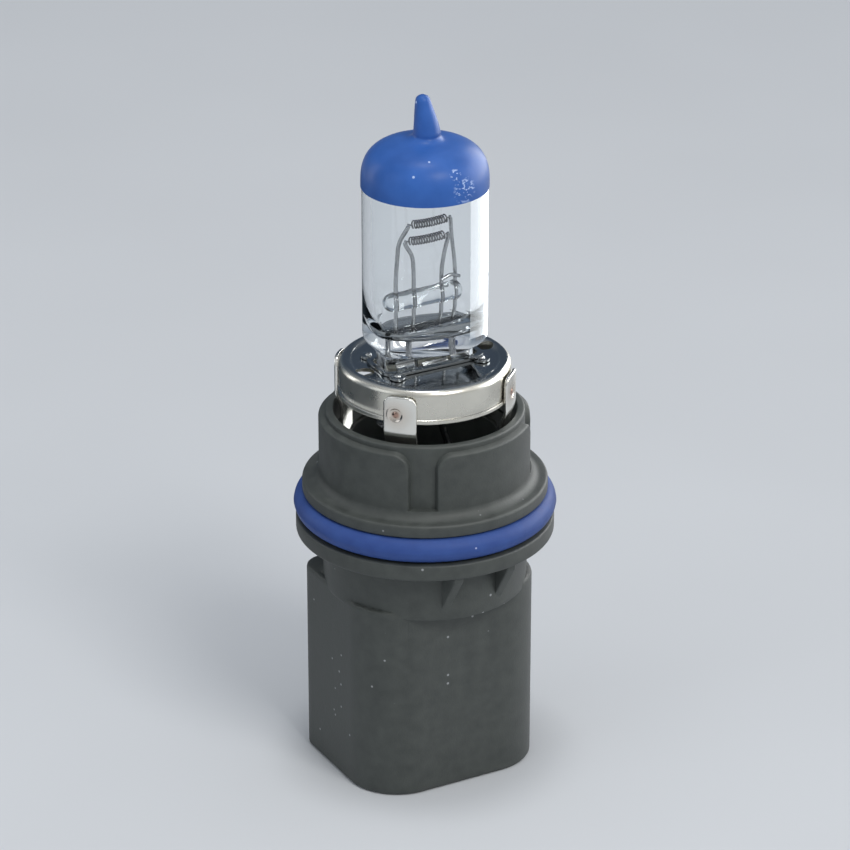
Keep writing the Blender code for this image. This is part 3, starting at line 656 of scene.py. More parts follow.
def cavity_rings():
    """The hollow, pinched flat at its foot, with a rounded dome above."""
    radius = GLASS_RADIUS - GLASS_WALL
    rings = [oval(CAVITY_FOOT_HALF_X, CAVITY_FOOT_HALF_Y, CAVITY_FOOT, power=2.6)]
    steps = 14
    for i in range(1, steps + 1):
        t = i / steps
        bulge = math.sqrt(1 - (1 - t) ** 2)
        half_x = CAVITY_FOOT_HALF_X + (radius - CAVITY_FOOT_HALF_X) * bulge
        half_y = CAVITY_FOOT_HALF_Y + (radius - CAVITY_FOOT_HALF_Y) * bulge**1.15
        z = CAVITY_FOOT + (CAVITY_FULL_HEIGHT - CAVITY_FOOT) * t**1.5
        rings.append(oval(half_x, half_y, z, power=2.6 - 0.6 * bulge))
    rings += tube_rings(radius, CAVITY_FULL_HEIGHT, DOME_START)
    height = DOME_TOP - GLASS_WALL - DOME_START
    steps = 16
    for i in range(steps):
        level = math.sin(0.5 * math.pi * i / steps)
        size = radius * (1 - level**DOME_POWER) ** (1 / DOME_POWER)
        rings.append(oval(size, size, DOME_START + height * level))
    rings.append(oval(CAVITY_CROWN_RADIUS, CAVITY_CROWN_RADIUS, DOME_START + height))
    return rings


def make_capsule(glass, coating):
    outer = press_rings() + dome_rings(SHOULDER_TOP, 0.0)[1:]
    capsule = skin("glass_capsule", outer)
    hollow = skin("hollow", cavity_rings())
    hollow.data.flip_normals()
    join_into(capsule, hollow)
    finish(capsule, glass, "glass_envelope", smooth_angle=60)
    shell_outer = dome_rings(COATING_BOTTOM, COATING_GAP + COATING_THICKNESS)
    shell_inner = dome_rings(COATING_BOTTOM, COATING_GAP)
    cap = skin("blue_dome_coating", shell_inner[::-1] + shell_outer)
    finish(cap, coating, "glare_coating", smooth_angle=60)


def join_into(target, other):
    """Puts the other mesh's faces into the target's mesh and removes the other."""
    shape = bmesh.new()
    shape.from_mesh(target.data)
    shape.from_mesh(other.data)
    shape.to_mesh(target.data)
    shape.free()
    bpy.data.objects.remove(other, do_unlink=True)


# ---------------- filament frame


def coil_centre(node):
    low, high = extent(node)
    return (low + high) / 2


def make_coil(name, node, look):
    """A tungsten coil that sags a little between its straight legs."""
    centre = coil_centre(node)
    steps = 26
    legs = COIL_LENGTH / 2 + COIL_LEG
    bend = COIL_LENGTH / 2 + COIL_LEG_BEND
    path = [centre + Vector((-legs, 0, 0)), centre + Vector((-bend, 0, 0))]
    count = COIL_TURNS * steps
    for i in range(count + 1):
        turn = 2 * math.pi * i / steps
        share = i / count - 0.5
        sag = -COIL_SAG * (1 - (2 * share) ** 2)
        across, up = COIL_RADIUS * math.sin(turn), -COIL_RADIUS * math.cos(turn)
        path.append(centre + Vector((COIL_LENGTH * share, across, up + sag)))
    path += [centre + Vector((bend, 0, 0)), centre + Vector((legs, 0, 0))]
    finish(skin(name, wire_rings(path, COIL_WIRE * 0.95, 8)), look, node, smooth_angle=60)


# Each post's place along X, and the coil and the end of it (-1 or 1) that the post holds
POSTS = {
    "low_beam_lead": (-1.5, "low_beam_filament", -1),
    "common_lead": (2.2, "low_beam_filament", 1),
    "high_beam_lead": (-3.8, "high_beam_filament", -1),
    "filament_support": (4.1, "high_beam_filament", 1),
}


def post_thickness(share):
    """A post's radius at a share of the way up. Its end is pinched round the coil's leg."""
    flattened = 0.72 if share > 0.93 else 1.0
    return LEAD_RADIUS * flattened


def make_posts(look):
    for node, (x, coil_node, side) in POSTS.items():
        low = extent(node)[0]
        centre = coil_centre(coil_node)
        leg = centre + Vector((side * (COIL_LENGTH / 2 + COIL_LEG / 2 + 0.1), 0, 0))
        knee = Vector(((2 * x + leg.x) / 3, leg.y, leg.z - POST_KNEE_DROP))
        corners = [Vector((x, 0, low.z)), Vector((x, 0, POST_BEND_Z)), knee]
        corners += [leg + Vector((side * 0.22, 0, -0.3)), leg + Vector((side * 0.1, 0, 0.16))]
        path = rounded_path(corners, (1.6, 1.2, 0.3))
        post = skin(node + "_wire", wire_rings(path, post_thickness, 14))
        finish(post, look, node, smooth_angle=60)


def make_crosspiece(look):
    low, high = extent("lead_crosspiece")
    y = (low.y + high.y) / 2
    left = Vector((low.x + 0.15, y, low.z + 0.3))
    peak = Vector(((low.x + high.x) / 2, y, high.z - 0.2))
    right = Vector((high.x - 0.15, y, low.z + 0.3))
    path = rounded_path([left, peak, right], 0.5)
    wire = skin("crosspiece_wire", wire_rings(path, LEAD_RADIUS * 0.85, 14))
    finish(wire, look, "lead_crosspiece", smooth_angle=60)


def make_bridge(glass):
    """The fire-polished glass rod, a little swollen where each post passes through it."""
    left, right = BRIDGE_LOW.x, BRIDGE_HIGH.x
    middle_z = (BRIDGE_LOW.z + BRIDGE_HIGH.z) / 2
    radius = (BRIDGE_HIGH.z - BRIDGE_LOW.z) / 2
    rings = []
    steps = 90
    sides = 40
    for i in range(steps + 1):
        t = 0.5 - 0.5 * math.cos(math.pi * i / steps)
        x = left + (right - left) * t
        from_end = min(x - left, right - x)
        size = 1.0 if from_end > 1.0 else math.sqrt(max(1 - (1 - from_end) ** 2, 0.01))
        swell = sum(math.exp(-(((x - post[0]) / 0.5) ** 2)) for post in POSTS.values())
        ring_radius = radius * size * (0.9 + 0.09 * swell)
        turns = [2 * math.pi * (k + 0.5) / sides for k in range(sides)]
        ring = [Vector((x, ring_radius * math.cos(a), middle_z + ring_radius * math.sin(a))) for a in turns]
        rings.append(ring)
    finish(skin("bridge_rod", rings), glass, "glass_bridge", smooth_angle=60)


# ---------------- cup, clip and ring


def make_cup(look):
    inner = CUP_RADIUS - CUP_SHEET
    corner_r = CUP_RADIUS - CUP_CORNER
    corner_z = CUP_HIGH.z - CUP_CORNER
    bead_r = half_width("capsule_cup")
    bottom = CUP_LOW.z
    profile = [(CUP_FLOOR_RADIUS, CUP_HIGH.z - CUP_SHEET - CUP_DISH)]
    profile += arc(corner_r, corner_z, CUP_CORNER - CUP_SHEET, 90, 0, 6)
    profile += [(inner, bottom + 0.1), (inner + 0.1, bottom)]
    profile += arc(bead_r - CUP_BEAD_RADIUS, bottom + CUP_BEAD_RADIUS, CUP_BEAD_RADIUS, 270, 360, 5)
    profile += [(bead_r, bottom + 3 * CUP_BEAD_RADIUS)]
    profile += [(CUP_RADIUS + out, bottom + up) for out, up in CUP_GROOVE]
    profile += arc(corner_r, corner_z, CUP_CORNER, 0, 90, 14)
    profile += [(corner_r - inwards, CUP_HIGH.z - down) for inwards, down in CUP_RIM_STEP]
    cup = turned("cup_shell", profile, 192)
    levels = (CUP_HIGH.z - 3, CUP_HIGH.z + 1)
    slot = [oval(CUP_SLOT_HALF_X, CUP_SLOT_HALF_Y, z, power=6, count=64) for z in levels]
    combine(cup, skin("slot", slot), "DIFFERENCE")
    for x in (-CUP_HOLE_X, CUP_HOLE_X):
        hole = [oval(CUP_HOLE_RADIUS, CUP_HOLE_RADIUS, z, centre=(x, 0), count=48) for z in levels]
        combine(cup, skin("hole", hole), "DIFFERENCE")
    finish(cup, look, "capsule_cup", smooth_angle=30)


def strip_rings(path, width, thickness):
    """Four-cornered rings round the path of a flat strip whose width runs along X."""
    rings = []
    last = len(path) - 1
    for i, point in enumerate(path):
        along = (path[min(i + 1, last)] - path[max(i - 1, 0)]).normalized()
        out = along.cross(Vector((1, 0, 0))) * thickness / 2
        wide = Vector((width / 2, 0, 0))
        rings.append([point - wide - out, point + wide - out, point + wide + out, point - wide + out])
    return rings


def add_strip(target, name, path, width, thickness):
    """Joins a bent strip with softened edges to the target."""
    strip = skin(name, strip_rings(path, width, thickness))
    bevel(strip, STRIP_BEVEL, 2, 50)
    join_into(target, strip)


def make_clip(look):
    """The spring clip: a flat frame welded down by four ears, with folded lips and four fingers."""
    bottom = CLIP_LOW.z
    top = bottom + CLIP_SHEET
    middle = (bottom + top) / 2
    frame_y = CLIP_HIGH.y - 2 * EAR_RADIUS + EAR_OVERLAP
    outline = [oval(CLIP_HALF_X, frame_y, z, power=5, count=96) for z in (bottom, top)]
    clip = skin("clip_frame", outline)
    for x, side in CLIP_CORNERS:
        centre = (x, side * (CLIP_HIGH.y - EAR_RADIUS))
        levels = (bottom + EAR_INSET, top - EAR_INSET)
        ear = [oval(EAR_RADIUS, EAR_RADIUS, z, centre=centre, count=48) for z in levels]
        combine(clip, skin("ear", ear), "UNION")
    levels = (bottom - 1, top + 1)
    opening = [oval(CLIP_OPENING_HALF_X, CLIP_OPENING_HALF_Y, z, power=7, count=96) for z in levels]
    combine(clip, skin("opening", opening), "DIFFERENCE")
    bevel(clip, 0.07, 2, 50)
    touch = PRESS_HALF_THICKNESS + CLIP_SHEET / 2 + FINGER_GAP
    finger_side = ((frame_y - 0.15, 0.05), (2.1, 0.05), (touch, 0.45), (touch, CLIP_HIGH.z - middle))
    lip_side = ((frame_y - 0.3, 0.04), (2.5, 0.04), (2.2, 0.5))
    for side in (-1, 1):
        for x in (-FINGER_X, FINGER_X):
            finger = [Vector((x, side * y, middle + up)) for y, up in finger_side]
            add_strip(clip, "finger", rounded_path(finger, 0.35, 5), FINGER_WIDTH, CLIP_SHEET - 0.04)
        lip = [Vector((0, side * y, middle + up)) for y, up in lip_side]
        add_strip(clip, "lip", rounded_path(lip, 0.3, 5), LIP_WIDTH, CLIP_SHEET - 0.06)
    for x, side in CLIP_CORNERS:
        centre = (x, side * (CLIP_HIGH.y - EAR_RADIUS))
        bowl = arc(0, top - EAR_INSET - 0.1, 0.4, 14, 80, 6)
        join_into(clip, skin("dimple", [oval(r, r, z, centre=centre, count=24) for r, z in bowl]))
    finish(clip, look, "seal_clip")


def tab_edge(distance, rounding=0.18):
    """How far a sheet's face drops at a distance from its edge."""
    if distance >= rounding:
        return 0.0
    return rounding * (1 - math.sqrt(max(1 - (1 - distance / rounding) ** 2, 0.0)))


def tab_shell(middle):
    """One upright tab as a closed shell: outer face with its weld mark, inner face and rounded rim."""
    half = TAB_WIDTH / 2
    outer_radius = TAB_INNER_RADIUS + TAB_SHEET
    columns = sorted({half * math.sin(math.radians(a)) for a in range(-90, 91, 4)})
    low, high = RING_LOW.z + 0.2, RING_HIGH.z
    rows = 66
    outer, inner = [], []
    for across in columns:
        from_side = half - abs(across)
        top = high
        if from_side < TAB_CORNER:
            top = high - TAB_CORNER + math.sqrt(max(TAB_CORNER**2 - (TAB_CORNER - from_side) ** 2, 0.0))
        outer_column, inner_column = [], []
        for row in range(rows + 1):
            share = math.sin(0.5 * math.pi * row / rows) ** 0.9
            z = low + (top - low) * share
            edge = min(from_side, top - z)
            distance = math.hypot(across - WELD_SHIFT, z - WELD_Z)
            dent = 0.0
            if distance < WELD_RADIUS:
                dent = -WELD_DENT * smooth_step((WELD_RADIUS - distance) / 0.22)
                dent += NUGGET_HEIGHT * smooth_step((NUGGET_RADIUS - distance) / 0.2)
            elif distance < WELD_RADIUS + WELD_RIM_WIDTH:
                dent = WELD_RIM_HEIGHT * math.sin(math.pi * (distance - WELD_RADIUS) / WELD_RIM_WIDTH)
            raised = min(max((z - BASE_HIGH.z) / (high - BASE_HIGH.z), 0.0), 1.0)
            bow = TAB_CROWN * (1 - (across / half) ** 2) * math.sin(0.5 * math.pi * raised)
            bow -= TAB_LEAN * smooth_step((TAB_BEND_Z - z) / TAB_BEND_HEIGHT)
            angle = middle + across / outer_radius
            outer_column.append(polar(outer_radius + dent + bow - tab_edge(edge), angle, z))
            inner_column.append(polar(TAB_INNER_RADIUS + bow + tab_edge(edge, 0.08), angle, z))
        outer.append(outer_column)
        inner.append(inner_column)
    return [front + back[::-1] for front, back in zip(outer, inner)]


def make_ring(look):
    """The mounting ring. Its flat part is held in the plastic, and the four tabs stand up to the cup."""
    reach = half_width("mounting_ring") - 0.02
    low, high = RING_LOW.z, RING_LOW.z + TAB_SHEET
    section = [(RING_INNER_RADIUS, low), (reach, low), (reach, high), (RING_INNER_RADIUS, high)]
    flat = turned("ring_with_tabs", section, 96, looped=True)
    for quarter in range(4):
        join_into(flat, skin("tab", tab_shell(math.radians(45 + 90 * quarter))))
    finish(flat, look, "mounting_ring", smooth_angle=60)


# ---------------- plastic base


FINE_STEP = 0.07
LEAST_TURN = 0.0018


def base_turns():
    """The angles of the base mesh's columns: even all round, and close together at the pads' ends."""
    turns = {round(math.radians(i * 1.5), 6) for i in range(240)}
    for middle, width in KEYWAYS.items():
        for side in (-1, 1):
            for step in range(-4, 34):
                across = width / 2 + step * FINE_STEP
                turns.add(round((math.radians(middle) + side * across / PAD_RADIUS) % (2 * math.pi), 6))
    kept = []
    for turn in sorted(turns):
        if not kept or turn - kept[-1] > LEAST_TURN:
            kept.append(turn)
    return kept


# The directions, seen from the axis, of every column of the base's mesh
TURNS = base_turns()


def pad_height(angle, z):
    """0 in a keyway or above a pad, 1 on a pad's face, with rounded edges and corners between."""
    if z < KEYWAY_LEDGE:
        return 1.0
    nearest = min(KEYWAYS, key=lambda k: abs(math.remainder(angle - math.radians(k), 2 * math.pi)))
    turn = abs(math.remainder(angle - math.radians(nearest), 2 * math.pi))
    across = turn * PAD_RADIUS - KEYWAYS[nearest] / 2
    below = PAD_TOP - z
    if across < PAD_CORNER and below < PAD_CORNER:
        inside = PAD_CORNER - math.hypot(PAD_CORNER - across, PAD_CORNER - below)
    else:
        inside = min(across, below)
    if inside <= -PAD_WALL:
        return 0.0
    if inside <= 0:
        return PAD_WALL_SHARE * (inside + PAD_WALL) / PAD_WALL
    if inside >= PAD_ROUNDING:
        return 1.0
    return PAD_WALL_SHARE + (1 - PAD_WALL_SHARE) * math.sqrt(1 - (1 - inside / PAD_ROUNDING) ** 2)


def pad_row(z):
    """One level of the keyed cylinder, which flares into the flange below its pads."""
    row = []
    for angle in TURNS:
        flare = 0.0
        if z < FLANGE_FILLET:
            flare = FLANGE_FILLET - math.sqrt(max(FLANGE_FILLET**2 - (FLANGE_FILLET - z) ** 2, 0.0))
        radius = CORE_RADIUS + (PAD_RADIUS - CORE_RADIUS) * pad_height(angle, z)
        row.append(polar(radius + flare, angle, z))
    return row


def round_row(radius, z):
    return [polar(radius, angle, z) for angle in TURNS]


def shroud_radius(angle, inset):
    """The distance from the axis to the connector's D-shaped outline in one direction."""
    direction = Vector((math.cos(angle), math.sin(angle)))
    low, high = 0.0, 20.0
    for _ in range(26):
        middle = (low + high) / 2
        point = direction * middle
        radius = (SHROUD_ROUND_BACK if point.y > 0 else SHROUD_ROUND_FRONT) - inset
        over_x = abs(point.x) - (SHROUD_HALF_X - inset - radius)
        over_y = abs(point.y) - (SHROUD_HALF_Y - inset - radius)
        gap = math.hypot(max(over_x, 0), max(over_y, 0)) + min(max(over_x, over_y), 0) - radius
        if gap > 0:
            high = middle
        else:
            low = middle
    return low


def shroud_row(inset, z, least=0.0):
    return [polar(max(shroud_radius(angle, inset), least), angle, z) for angle in TURNS]


def base_rows():
    """Every level of the base: up the bore, over the rim, down the outside and up into the socket."""
    top = BASE_HIGH.z
    groove = half_width("mounting_ring") + 0.1
    groove_low, groove_high = RING_LOW.z - 0.1, RING_LOW.z + TAB_SHEET + 0.1
    inside = [(BORE_RADIUS, BORE_FLOOR), (BORE_RADIUS, 0.0), (BORE_RADIUS, groove_low)]
    inside += [(groove, groove_low), (groove, groove_high), (RECESS_RADIUS, groove_high)]
    inside += [(RECESS_RADIUS, groove_high + 1.0)]
    rows = [round_row(radius, z) for radius, z in inside]
    rim = [(RECESS_RADIUS, top - 1.0), (RECESS_RADIUS, top)]
    rim += [(CORE_RADIUS, top), (CORE_RADIUS, PAD_TOP + 0.15)]
    rim_path = rounded_path([Vector((r, 0, z)) for r, z in rim], (0.18, 0.45), 6)
    rows += [round_row(p.x, p.z) for p in rim_path]
    z = PAD_TOP + 0.12
    while z > PAD_TOP - PAD_CORNER - 0.1:
        rows.append(pad_row(z))
        z -= 0.08
    while z > KEYWAY_LEDGE + 0.3:
        rows.append(pad_row(z))
        z -= 0.5
    for z in (KEYWAY_LEDGE + 0.3, KEYWAY_LEDGE + 0.06, KEYWAY_LEDGE + 0.01):
        rows.append(pad_row(z))
    steps = 9
    for i in range(steps + 1):
        share = i / steps
        rows.append(pad_row(KEYWAY_LEDGE * (1 - share) ** 2 - 0.0001))
    flange = [
        (PAD_RADIUS + FLANGE_FILLET, 0.0, 0.1),
        (FLANGE_RADIUS, 0.0, FLANGE_ROUNDING),
        (FLANGE_RADIUS, -FLANGE_THICKNESS, 0.22),
        (GROOVE_RADIUS, -FLANGE_THICKNESS, 0.2),
        (GROOVE_RADIUS, GROOVE_BOTTOM, 0.2),
        (COLLAR_RADIUS, GROOVE_BOTTOM, 0.3),
        (COLLAR_RADIUS, COLLAR_BOTTOM, 0.35),
        (NECK_RADIUS, COLLAR_BOTTOM, 0.5),
        (NECK_RADIUS, SHROUD_TOP + 0.4, 0.1),
    ]
    corners = [Vector((r, 0, z)) for r, z, _ in flange]
    path = rounded_path(corners, [fillet for _, _, fillet in flange[1:-1]], 5)
    rows += [round_row(p.x, p.z) for p in path[1:]]
    for inset, z, least in (
        (0.6, SHROUD_TOP, NECK_RADIUS),
        (0.22, SHROUD_TOP - 0.05, NECK_RADIUS),
        (0.06, SHROUD_TOP - 0.2, NECK_RADIUS),
        (0.0, SHROUD_TOP - 0.45, NECK_RADIUS),
        (0.0, NECK_BOTTOM + 0.25, NECK_RADIUS),
        (0.0, NECK_BOTTOM + 0.07, NECK_RADIUS - 0.08),
        (0.0, NECK_BOTTOM, NECK_RADIUS - 0.3),
        (0.0, NECK_BOTTOM - 0.02, 0.0),
    ):
        rows.append(shroud_row(inset, z, least))
    mouth = BASE_LOW.z
    for share in (0.25, 0.5, 0.75):
        rows.append(shroud_row(0.0, NECK_BOTTOM + (mouth - NECK_BOTTOM) * share))
    for inset, z in ((0.0, 0.4), (0.04, 0.2), (0.15, 0.06), (0.4, 0.0)):
        rows.append(shroud_row(inset, mouth + z))
    for inset, z in ((-0.45, 0.0), (-0.2, 0.1), (-0.06, 0.3), (0.0, 0.6)):
        rows.append(shroud_row(SHROUD_WALL + inset, mouth + z))
    rows.append(shroud_row(SHROUD_WALL + 0.15, SOCKET_FLOOR - 0.3))
    rows.append(shroud_row(SHROUD_WALL + 0.4, SOCKET_FLOOR))
    return rows


def wedge(name, half_x, middle_x, points, rounding=0.25):
    """A straight bar across X with rounded edges, whose side view is the outline of (y, z) points."""
    ends = [[Vector((x, y, z)) for y, z in points] for x in (middle_x - half_x, middle_x + half_x)]
    bar = skin(name, ends)
    bevel(bar, rounding, 3, 20)
    return bar


def base_details():
    """The latch ramp, its guide ribs and the gussets under the collar."""
    mouth = BASE_LOW.z
    face = SHROUD_HALF_Y - 0.6
    ramp_side = [(face + out, z) for out, z in LATCH_RAMP]
    details = [wedge("latch_ramp", LATCH_RAMP_HALF_WIDTH, 0.0, ramp_side)]
    crest = face + RIB_HEIGHT
    rib = [(face, mouth + 1.5), (crest, mouth + 2.2), (crest, RIB_TOP - 1.5), (face, RIB_TOP)]
    for x in (-RIB_X, RIB_X):
        details.append(wedge("guide_rib", RIB_HALF_WIDTH, x, rib))
    for side in (-1, 1):
        root = side * (NECK_RADIUS - 1.0)
        outer = side * (COLLAR_RADIUS - 0.8)
        gusset = [(root, COLLAR_BOTTOM + 0.3), (outer, COLLAR_BOTTOM + 0.3)]
        gusset += [(outer, COLLAR_BOTTOM - 0.6), (root, NECK_BOTTOM + 1.0)]
        for x in (-GUSSET_X, GUSSET_X):
            details.append(wedge("gusset", GUSSET_HALF_WIDTH, x, gusset, 0.18))
    return details


def close_gaps(obj):
    """Fills the sliver holes that joining pieces can leave in a mesh."""
    shape = bmesh.new()
    shape.from_mesh(obj.data)
    bmesh.ops.holes_fill(shape, edges=[edge for edge in shape.edges if edge.is_boundary], sides=8)
    shape.to_mesh(obj.data)
    shape.free()


def make_base(look):
    base = skin("keyed_base", base_rows())
    for detail in base_details():
        combine(base, detail, "UNION")
    close_gaps(base)
    finish(base, look, "base_housing", smooth_angle=40)


def make_seal(look):
    """The sealing ring, round in section, with a faint moulding line inside and outside."""
    radius = (SEAL_HIGH.z - SEAL_LOW.z) / 2
    centre_r = half_width("sealing_ring") - radius
    centre_z = (SEAL_HIGH.z + SEAL_LOW.z) / 2
    section = []
    sides = 48
    for i in range(sides):
        angle = 2 * math.pi * i / sides
        line = 0.035 if i in (0, sides // 2) else 0.0
        size = radius * 0.995 + line
        section.append((centre_r + size * math.cos(angle), centre_z + size * math.sin(angle)))
    finish(turned("silicone_ring", section, 240, looped=True), look, "sealing_ring")


# ---------------- terminals and hidden wires


def make_blade(name, node, look):
    """A flat terminal blade with a chamfered tip, rolled edges and a latch hole."""
    low, high = extent(node)
    middle = (low + high) / 2
    half_x, half_y = (high.x - low.x) / 2, (high.y - low.y) / 2
    rings = [rectangle(half_x * wide, half_y * thick, low.z + z, middle) for z, wide, thick in BLADE_TIP]
    rings.append(rectangle(half_x, half_y, high.z, middle))
    blade = skin(name, rings)
    hole = [oval(BLADE_HOLE_RADIUS, BLADE_HOLE_RADIUS, z, count=32) for z in (-1.0, 1.0)]
    cutter = skin("blade_hole", hole)
    cutter.data.transform(Matrix.Translation(-LIFT * MM))
    cutter.data.transform(Matrix.Rotation(math.radians(90), 4, "X"))
    hole_centre = Vector((middle.x, middle.y, low.z + BLADE_HOLE_HEIGHT))
    cutter.data.transform(Matrix.Translation((hole_centre + LIFT) * MM))
    combine(blade, cutter, "DIFFERENCE")
    bevel(blade, 0.08, 2, 50)
    finish(blade, look, node, smooth_angle=40)


def paint_cad(node, look):
    """Gives a piece that is shown as its CAD shape a material."""
    materials = frame["nodes"][node].data.materials
    materials.clear()
    materials.append(look)


def make_terminals(brass, potting, wire, foil):
    """Blades and potting. The foils and the outer leads are already right as CAD shapes."""
    for name in ("low_beam", "high_beam", "common"):
        make_blade(name + "_blade", name + "_terminal", brass)
        paint_cad(name + "_foil", foil)
        paint_cad(name + "_outer_lead", wire)
    radius = half_width("terminal_seal")
    top = POTTING_HIGH.z
    profile = [(radius, POTTING_LOW.z), (radius, top + 0.1)]
    profile += [(radius - 0.4, top - 0.05), (radius - 1.4, top - 0.12)]
    seal = turned("potting_pool", profile, 96)
    finish(seal, potting, "terminal_seal")


# ---------------- stage


CAMERA_PLACE = Vector((-206.0, -373.2, 200.9))
CAMERA_TURN = math.atan2(CAMERA_PLACE.x, -CAMERA_PLACE.y)
CAMERA_LENS = 168
CARD_DISTANCE = 0.09
CARD_BRIGHTNESS = 5.0


def flat_material(name, colour, roughness):
    made, tree, shader = new_material(name)
    tone = noise(tree, 60.0, 2.0)
    paler = tuple(min(1.0, 1.03 * c) for c in colour)
    tone = ramp(tree, tone, (0.3, colour), (0.7, paler))
    set_inputs(tree, shader, Base_Color=tone, Roughness=roughness, Specular_IOR_Level=0.0)
    return made


def make_floor():
    shape = bmesh.new()
    bmesh.ops.create_grid(shape, x_segments=2, y_segments=2, size=4.0)
    floor = make_object("floor", shape)
    floor.location.z = cad_box[0].z - 0.0001
    floor.data.materials.append(flat_material("pale_floor", (0.64, 0.66, 0.685), 0.6))


def make_light(name, where, size, power, colour=(1, 1, 1), only_reflected=False):
    """A soft rectangular light aimed at the bulb. It can be one that shows in shiny surfaces only."""
    data = bpy.data.lights.new(name, "AREA")
    data.shape = "RECTANGLE"
    data.size, data.size_y = size
    data.energy = power
    data.color = colour
    light = bpy.data.objects.new(name, data)
    bpy.context.scene.collection.objects.link(light)
    light.location = where
    light.rotation_mode = "QUATERNION"
    light.rotation_quaternion = (cad_middle() - Vector(where)).to_track_quat("-Z", "Y")
    light.visible_camera = False
    if only_reflected:
        light.visible_diffuse = False
        light.visible_transmission = False


def cad_middle():
    return (cad_box[0] + cad_box[1]) / 2


def around(azimuth, distance, height):
    """A place round the bulb. Azimuth is in degrees from the camera's side, to its right."""
    turn = math.radians(azimuth) + CAMERA_TURN
    return Vector((math.sin(turn) * distance, -math.cos(turn) * distance, height))


def make_lights():
    make_light("key", around(35, 0.55, 0.6), (0.28, 0.28), 2.4, (1.0, 0.985, 0.96))
    make_light("fill", around(-60, 0.6, 0.3), (0.4, 0.4), 0.5, (0.96, 0.98, 1.0))
    make_light("top", (0.0, 0.0, 0.75), (0.15, 0.15), 1.0)
    make_light("right_panel", around(122, 0.36, 0.13), (0.5, 0.32), 2.6, only_reflected=True)
    make_light("left_strip", around(-112, 0.4, 0.14), (0.05, 0.3), 0.25, only_reflected=True)


def make_card(name, look, start, end, low, high):
    """A curved studio card round the bulb that shows in shiny surfaces only. Angles are as in around()."""
    steps = 16
    shape = bmesh.new()
    columns = []
    for i in range(steps + 1):
        foot = around(start + (end - start) * i / steps, CARD_DISTANCE, low)
        columns.append([shape.verts.new(foot), shape.verts.new(foot + Vector((0, 0, high - low)))])
    for first, second in zip(columns, columns[1:]):
        shape.faces.new((first[0], second[0], second[1], first[1]))
    card = make_object(name, shape)
    card.data.materials.append(look)
    card.visible_camera = False
    card.visible_diffuse = False
    card.visible_transmission = False
    card.visible_shadow = False
    return card


def make_cards():
    """A dark card for the steel's shaded left side, and a bright one for the streak down the glass only."""
    dark = flat_material("card_blue_grey", (0.045, 0.06, 0.075), 0.9)
    make_card("dark_card", dark, -175, -60, 0.0005, 0.05)
    bright, tree, shader = new_material("card_light")
    set_inputs(tree, shader, Emission_Color=(0.94, 0.98, 1.0, 1.0), Emission_Strength=CARD_BRIGHTNESS)
    card = make_card("bright_card", bright, 88, 168, 0.012, 0.048)
    lit = bpy.data.collections.new("lit_by_bright_card")
    for name in ("glass_capsule", "bridge_rod"):
        lit.objects.link(bpy.data.objects[name])
    card.light_linking.receiver_collection = lit


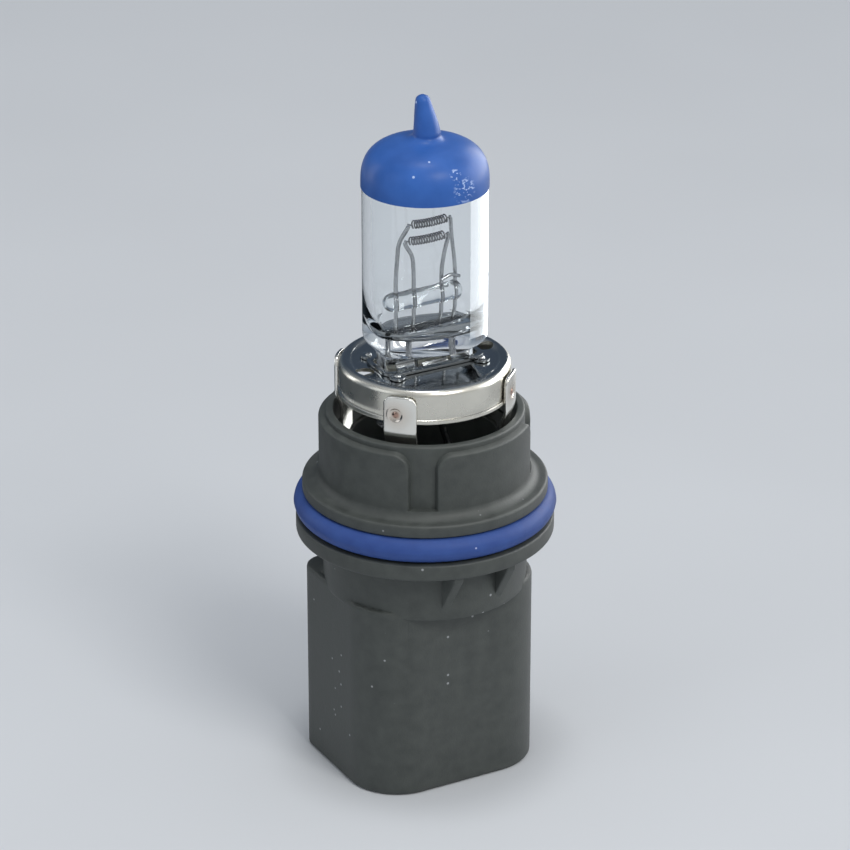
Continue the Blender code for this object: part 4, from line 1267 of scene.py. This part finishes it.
def make_world():
    """A pale studio, darker and bluer behind the bulb and to its left, so that glass and steel show."""
    world = bpy.data.worlds.new("studio")
    bpy.context.scene.world = world
    world.use_nodes = True
    tree = world.node_tree
    background = tree.nodes["Background"]
    direction = add_node(tree, "ShaderNodeTexCoord").outputs["Generated"]

    def towards(azimuth):
        aim = around(azimuth, 1.0, 0.0)
        product = add_node(tree, "ShaderNodeVectorMath", {"operation": "DOT_PRODUCT"}, _0=direction, _1=aim)
        return product.outputs["Value"]

    sides = ramp(
        tree, scaled(tree, towards(180), -1.0, 1.0, 0.0, 1.0),
        (0.25, (0.72, 0.73, 0.74)), (0.6, (0.5, 0.54, 0.6)), (0.9, (0.14, 0.18, 0.24)),
    )
    left = scaled(tree, towards(-90), 0.1, 0.85, 0.0, 1.0)
    sides = mix_colours(tree, left, sides, (0.1, 0.14, 0.19))
    height = add_node(tree, "ShaderNodeSeparateXYZ", Vector=direction).outputs[2]
    overhead = scaled(tree, height, 0.45, 0.95, 0.0, 1.0)
    colour = mix_colours(tree, overhead, sides, (0.8, 0.82, 0.85))
    set_inputs(tree, background, Color=colour, Strength=0.8)


def make_camera():
    data = bpy.data.cameras.new("camera")
    data.lens = CAMERA_LENS
    data.sensor_width = 36
    data.clip_start = 0.01
    camera = bpy.data.objects.new("camera", data)
    bpy.context.scene.collection.objects.link(camera)
    camera.location = (CAMERA_PLACE + LIFT) * MM
    camera.rotation_mode = "QUATERNION"
    aim = Vector((0, 0, cad_middle().z + 0.001))
    camera.rotation_quaternion = (aim - camera.location).to_track_quat("-Z", "Y")
    bpy.context.scene.camera = camera


def make_stage():
    make_floor()
    make_cards()
    make_lights()
    make_world()
    make_camera()
    bpy.context.scene.view_settings.view_transform = "Standard"


def main():
    glass = glass_material()
    tungsten = wire_material("tungsten", (0.22, 0.22, 0.23), 0.3)
    wire = wire_material("lead_wire", (0.4, 0.41, 0.42), 0.14)
    foil = wire_material("foil", (0.6, 0.6, 0.6), 0.3)
    brass = wire_material("tinned_brass", (0.68, 0.66, 0.6), 0.25)
    heat_tint = (0.52, 0.4, 0.3)
    # The fifth colour of each steel is the painted reflection on its level faces, darker than the sheet's
    # own colour.
    satin = steel_material("satin_steel", (0.68, 0.66, 0.59), heat_tint, 0.27, (0.3, 0.32, 0.33), 0.1)
    tab = steel_material("tab_steel", (0.82, 0.81, 0.76), heat_tint, 0.2, (0.4, 0.41, 0.4), 0.15)
    clip = steel_material("clip_steel", (0.4, 0.41, 0.41), (0.4, 0.38, 0.35), 0.16, (0.27, 0.29, 0.3), 0.1)
    make_capsule(glass, coating_material())
    make_coil("low_beam_coil", "low_beam_filament", tungsten)
    make_coil("high_beam_coil", "high_beam_filament", tungsten)
    make_posts(wire)
    make_crosspiece(wire)
    make_bridge(glass)
    make_cup(satin)
    make_clip(clip)
    make_ring(tab)
    make_base(plastic_material())
    make_seal(silicone_material())
    make_terminals(brass, potting_material(), wire, foil)
    make_stage()


main()
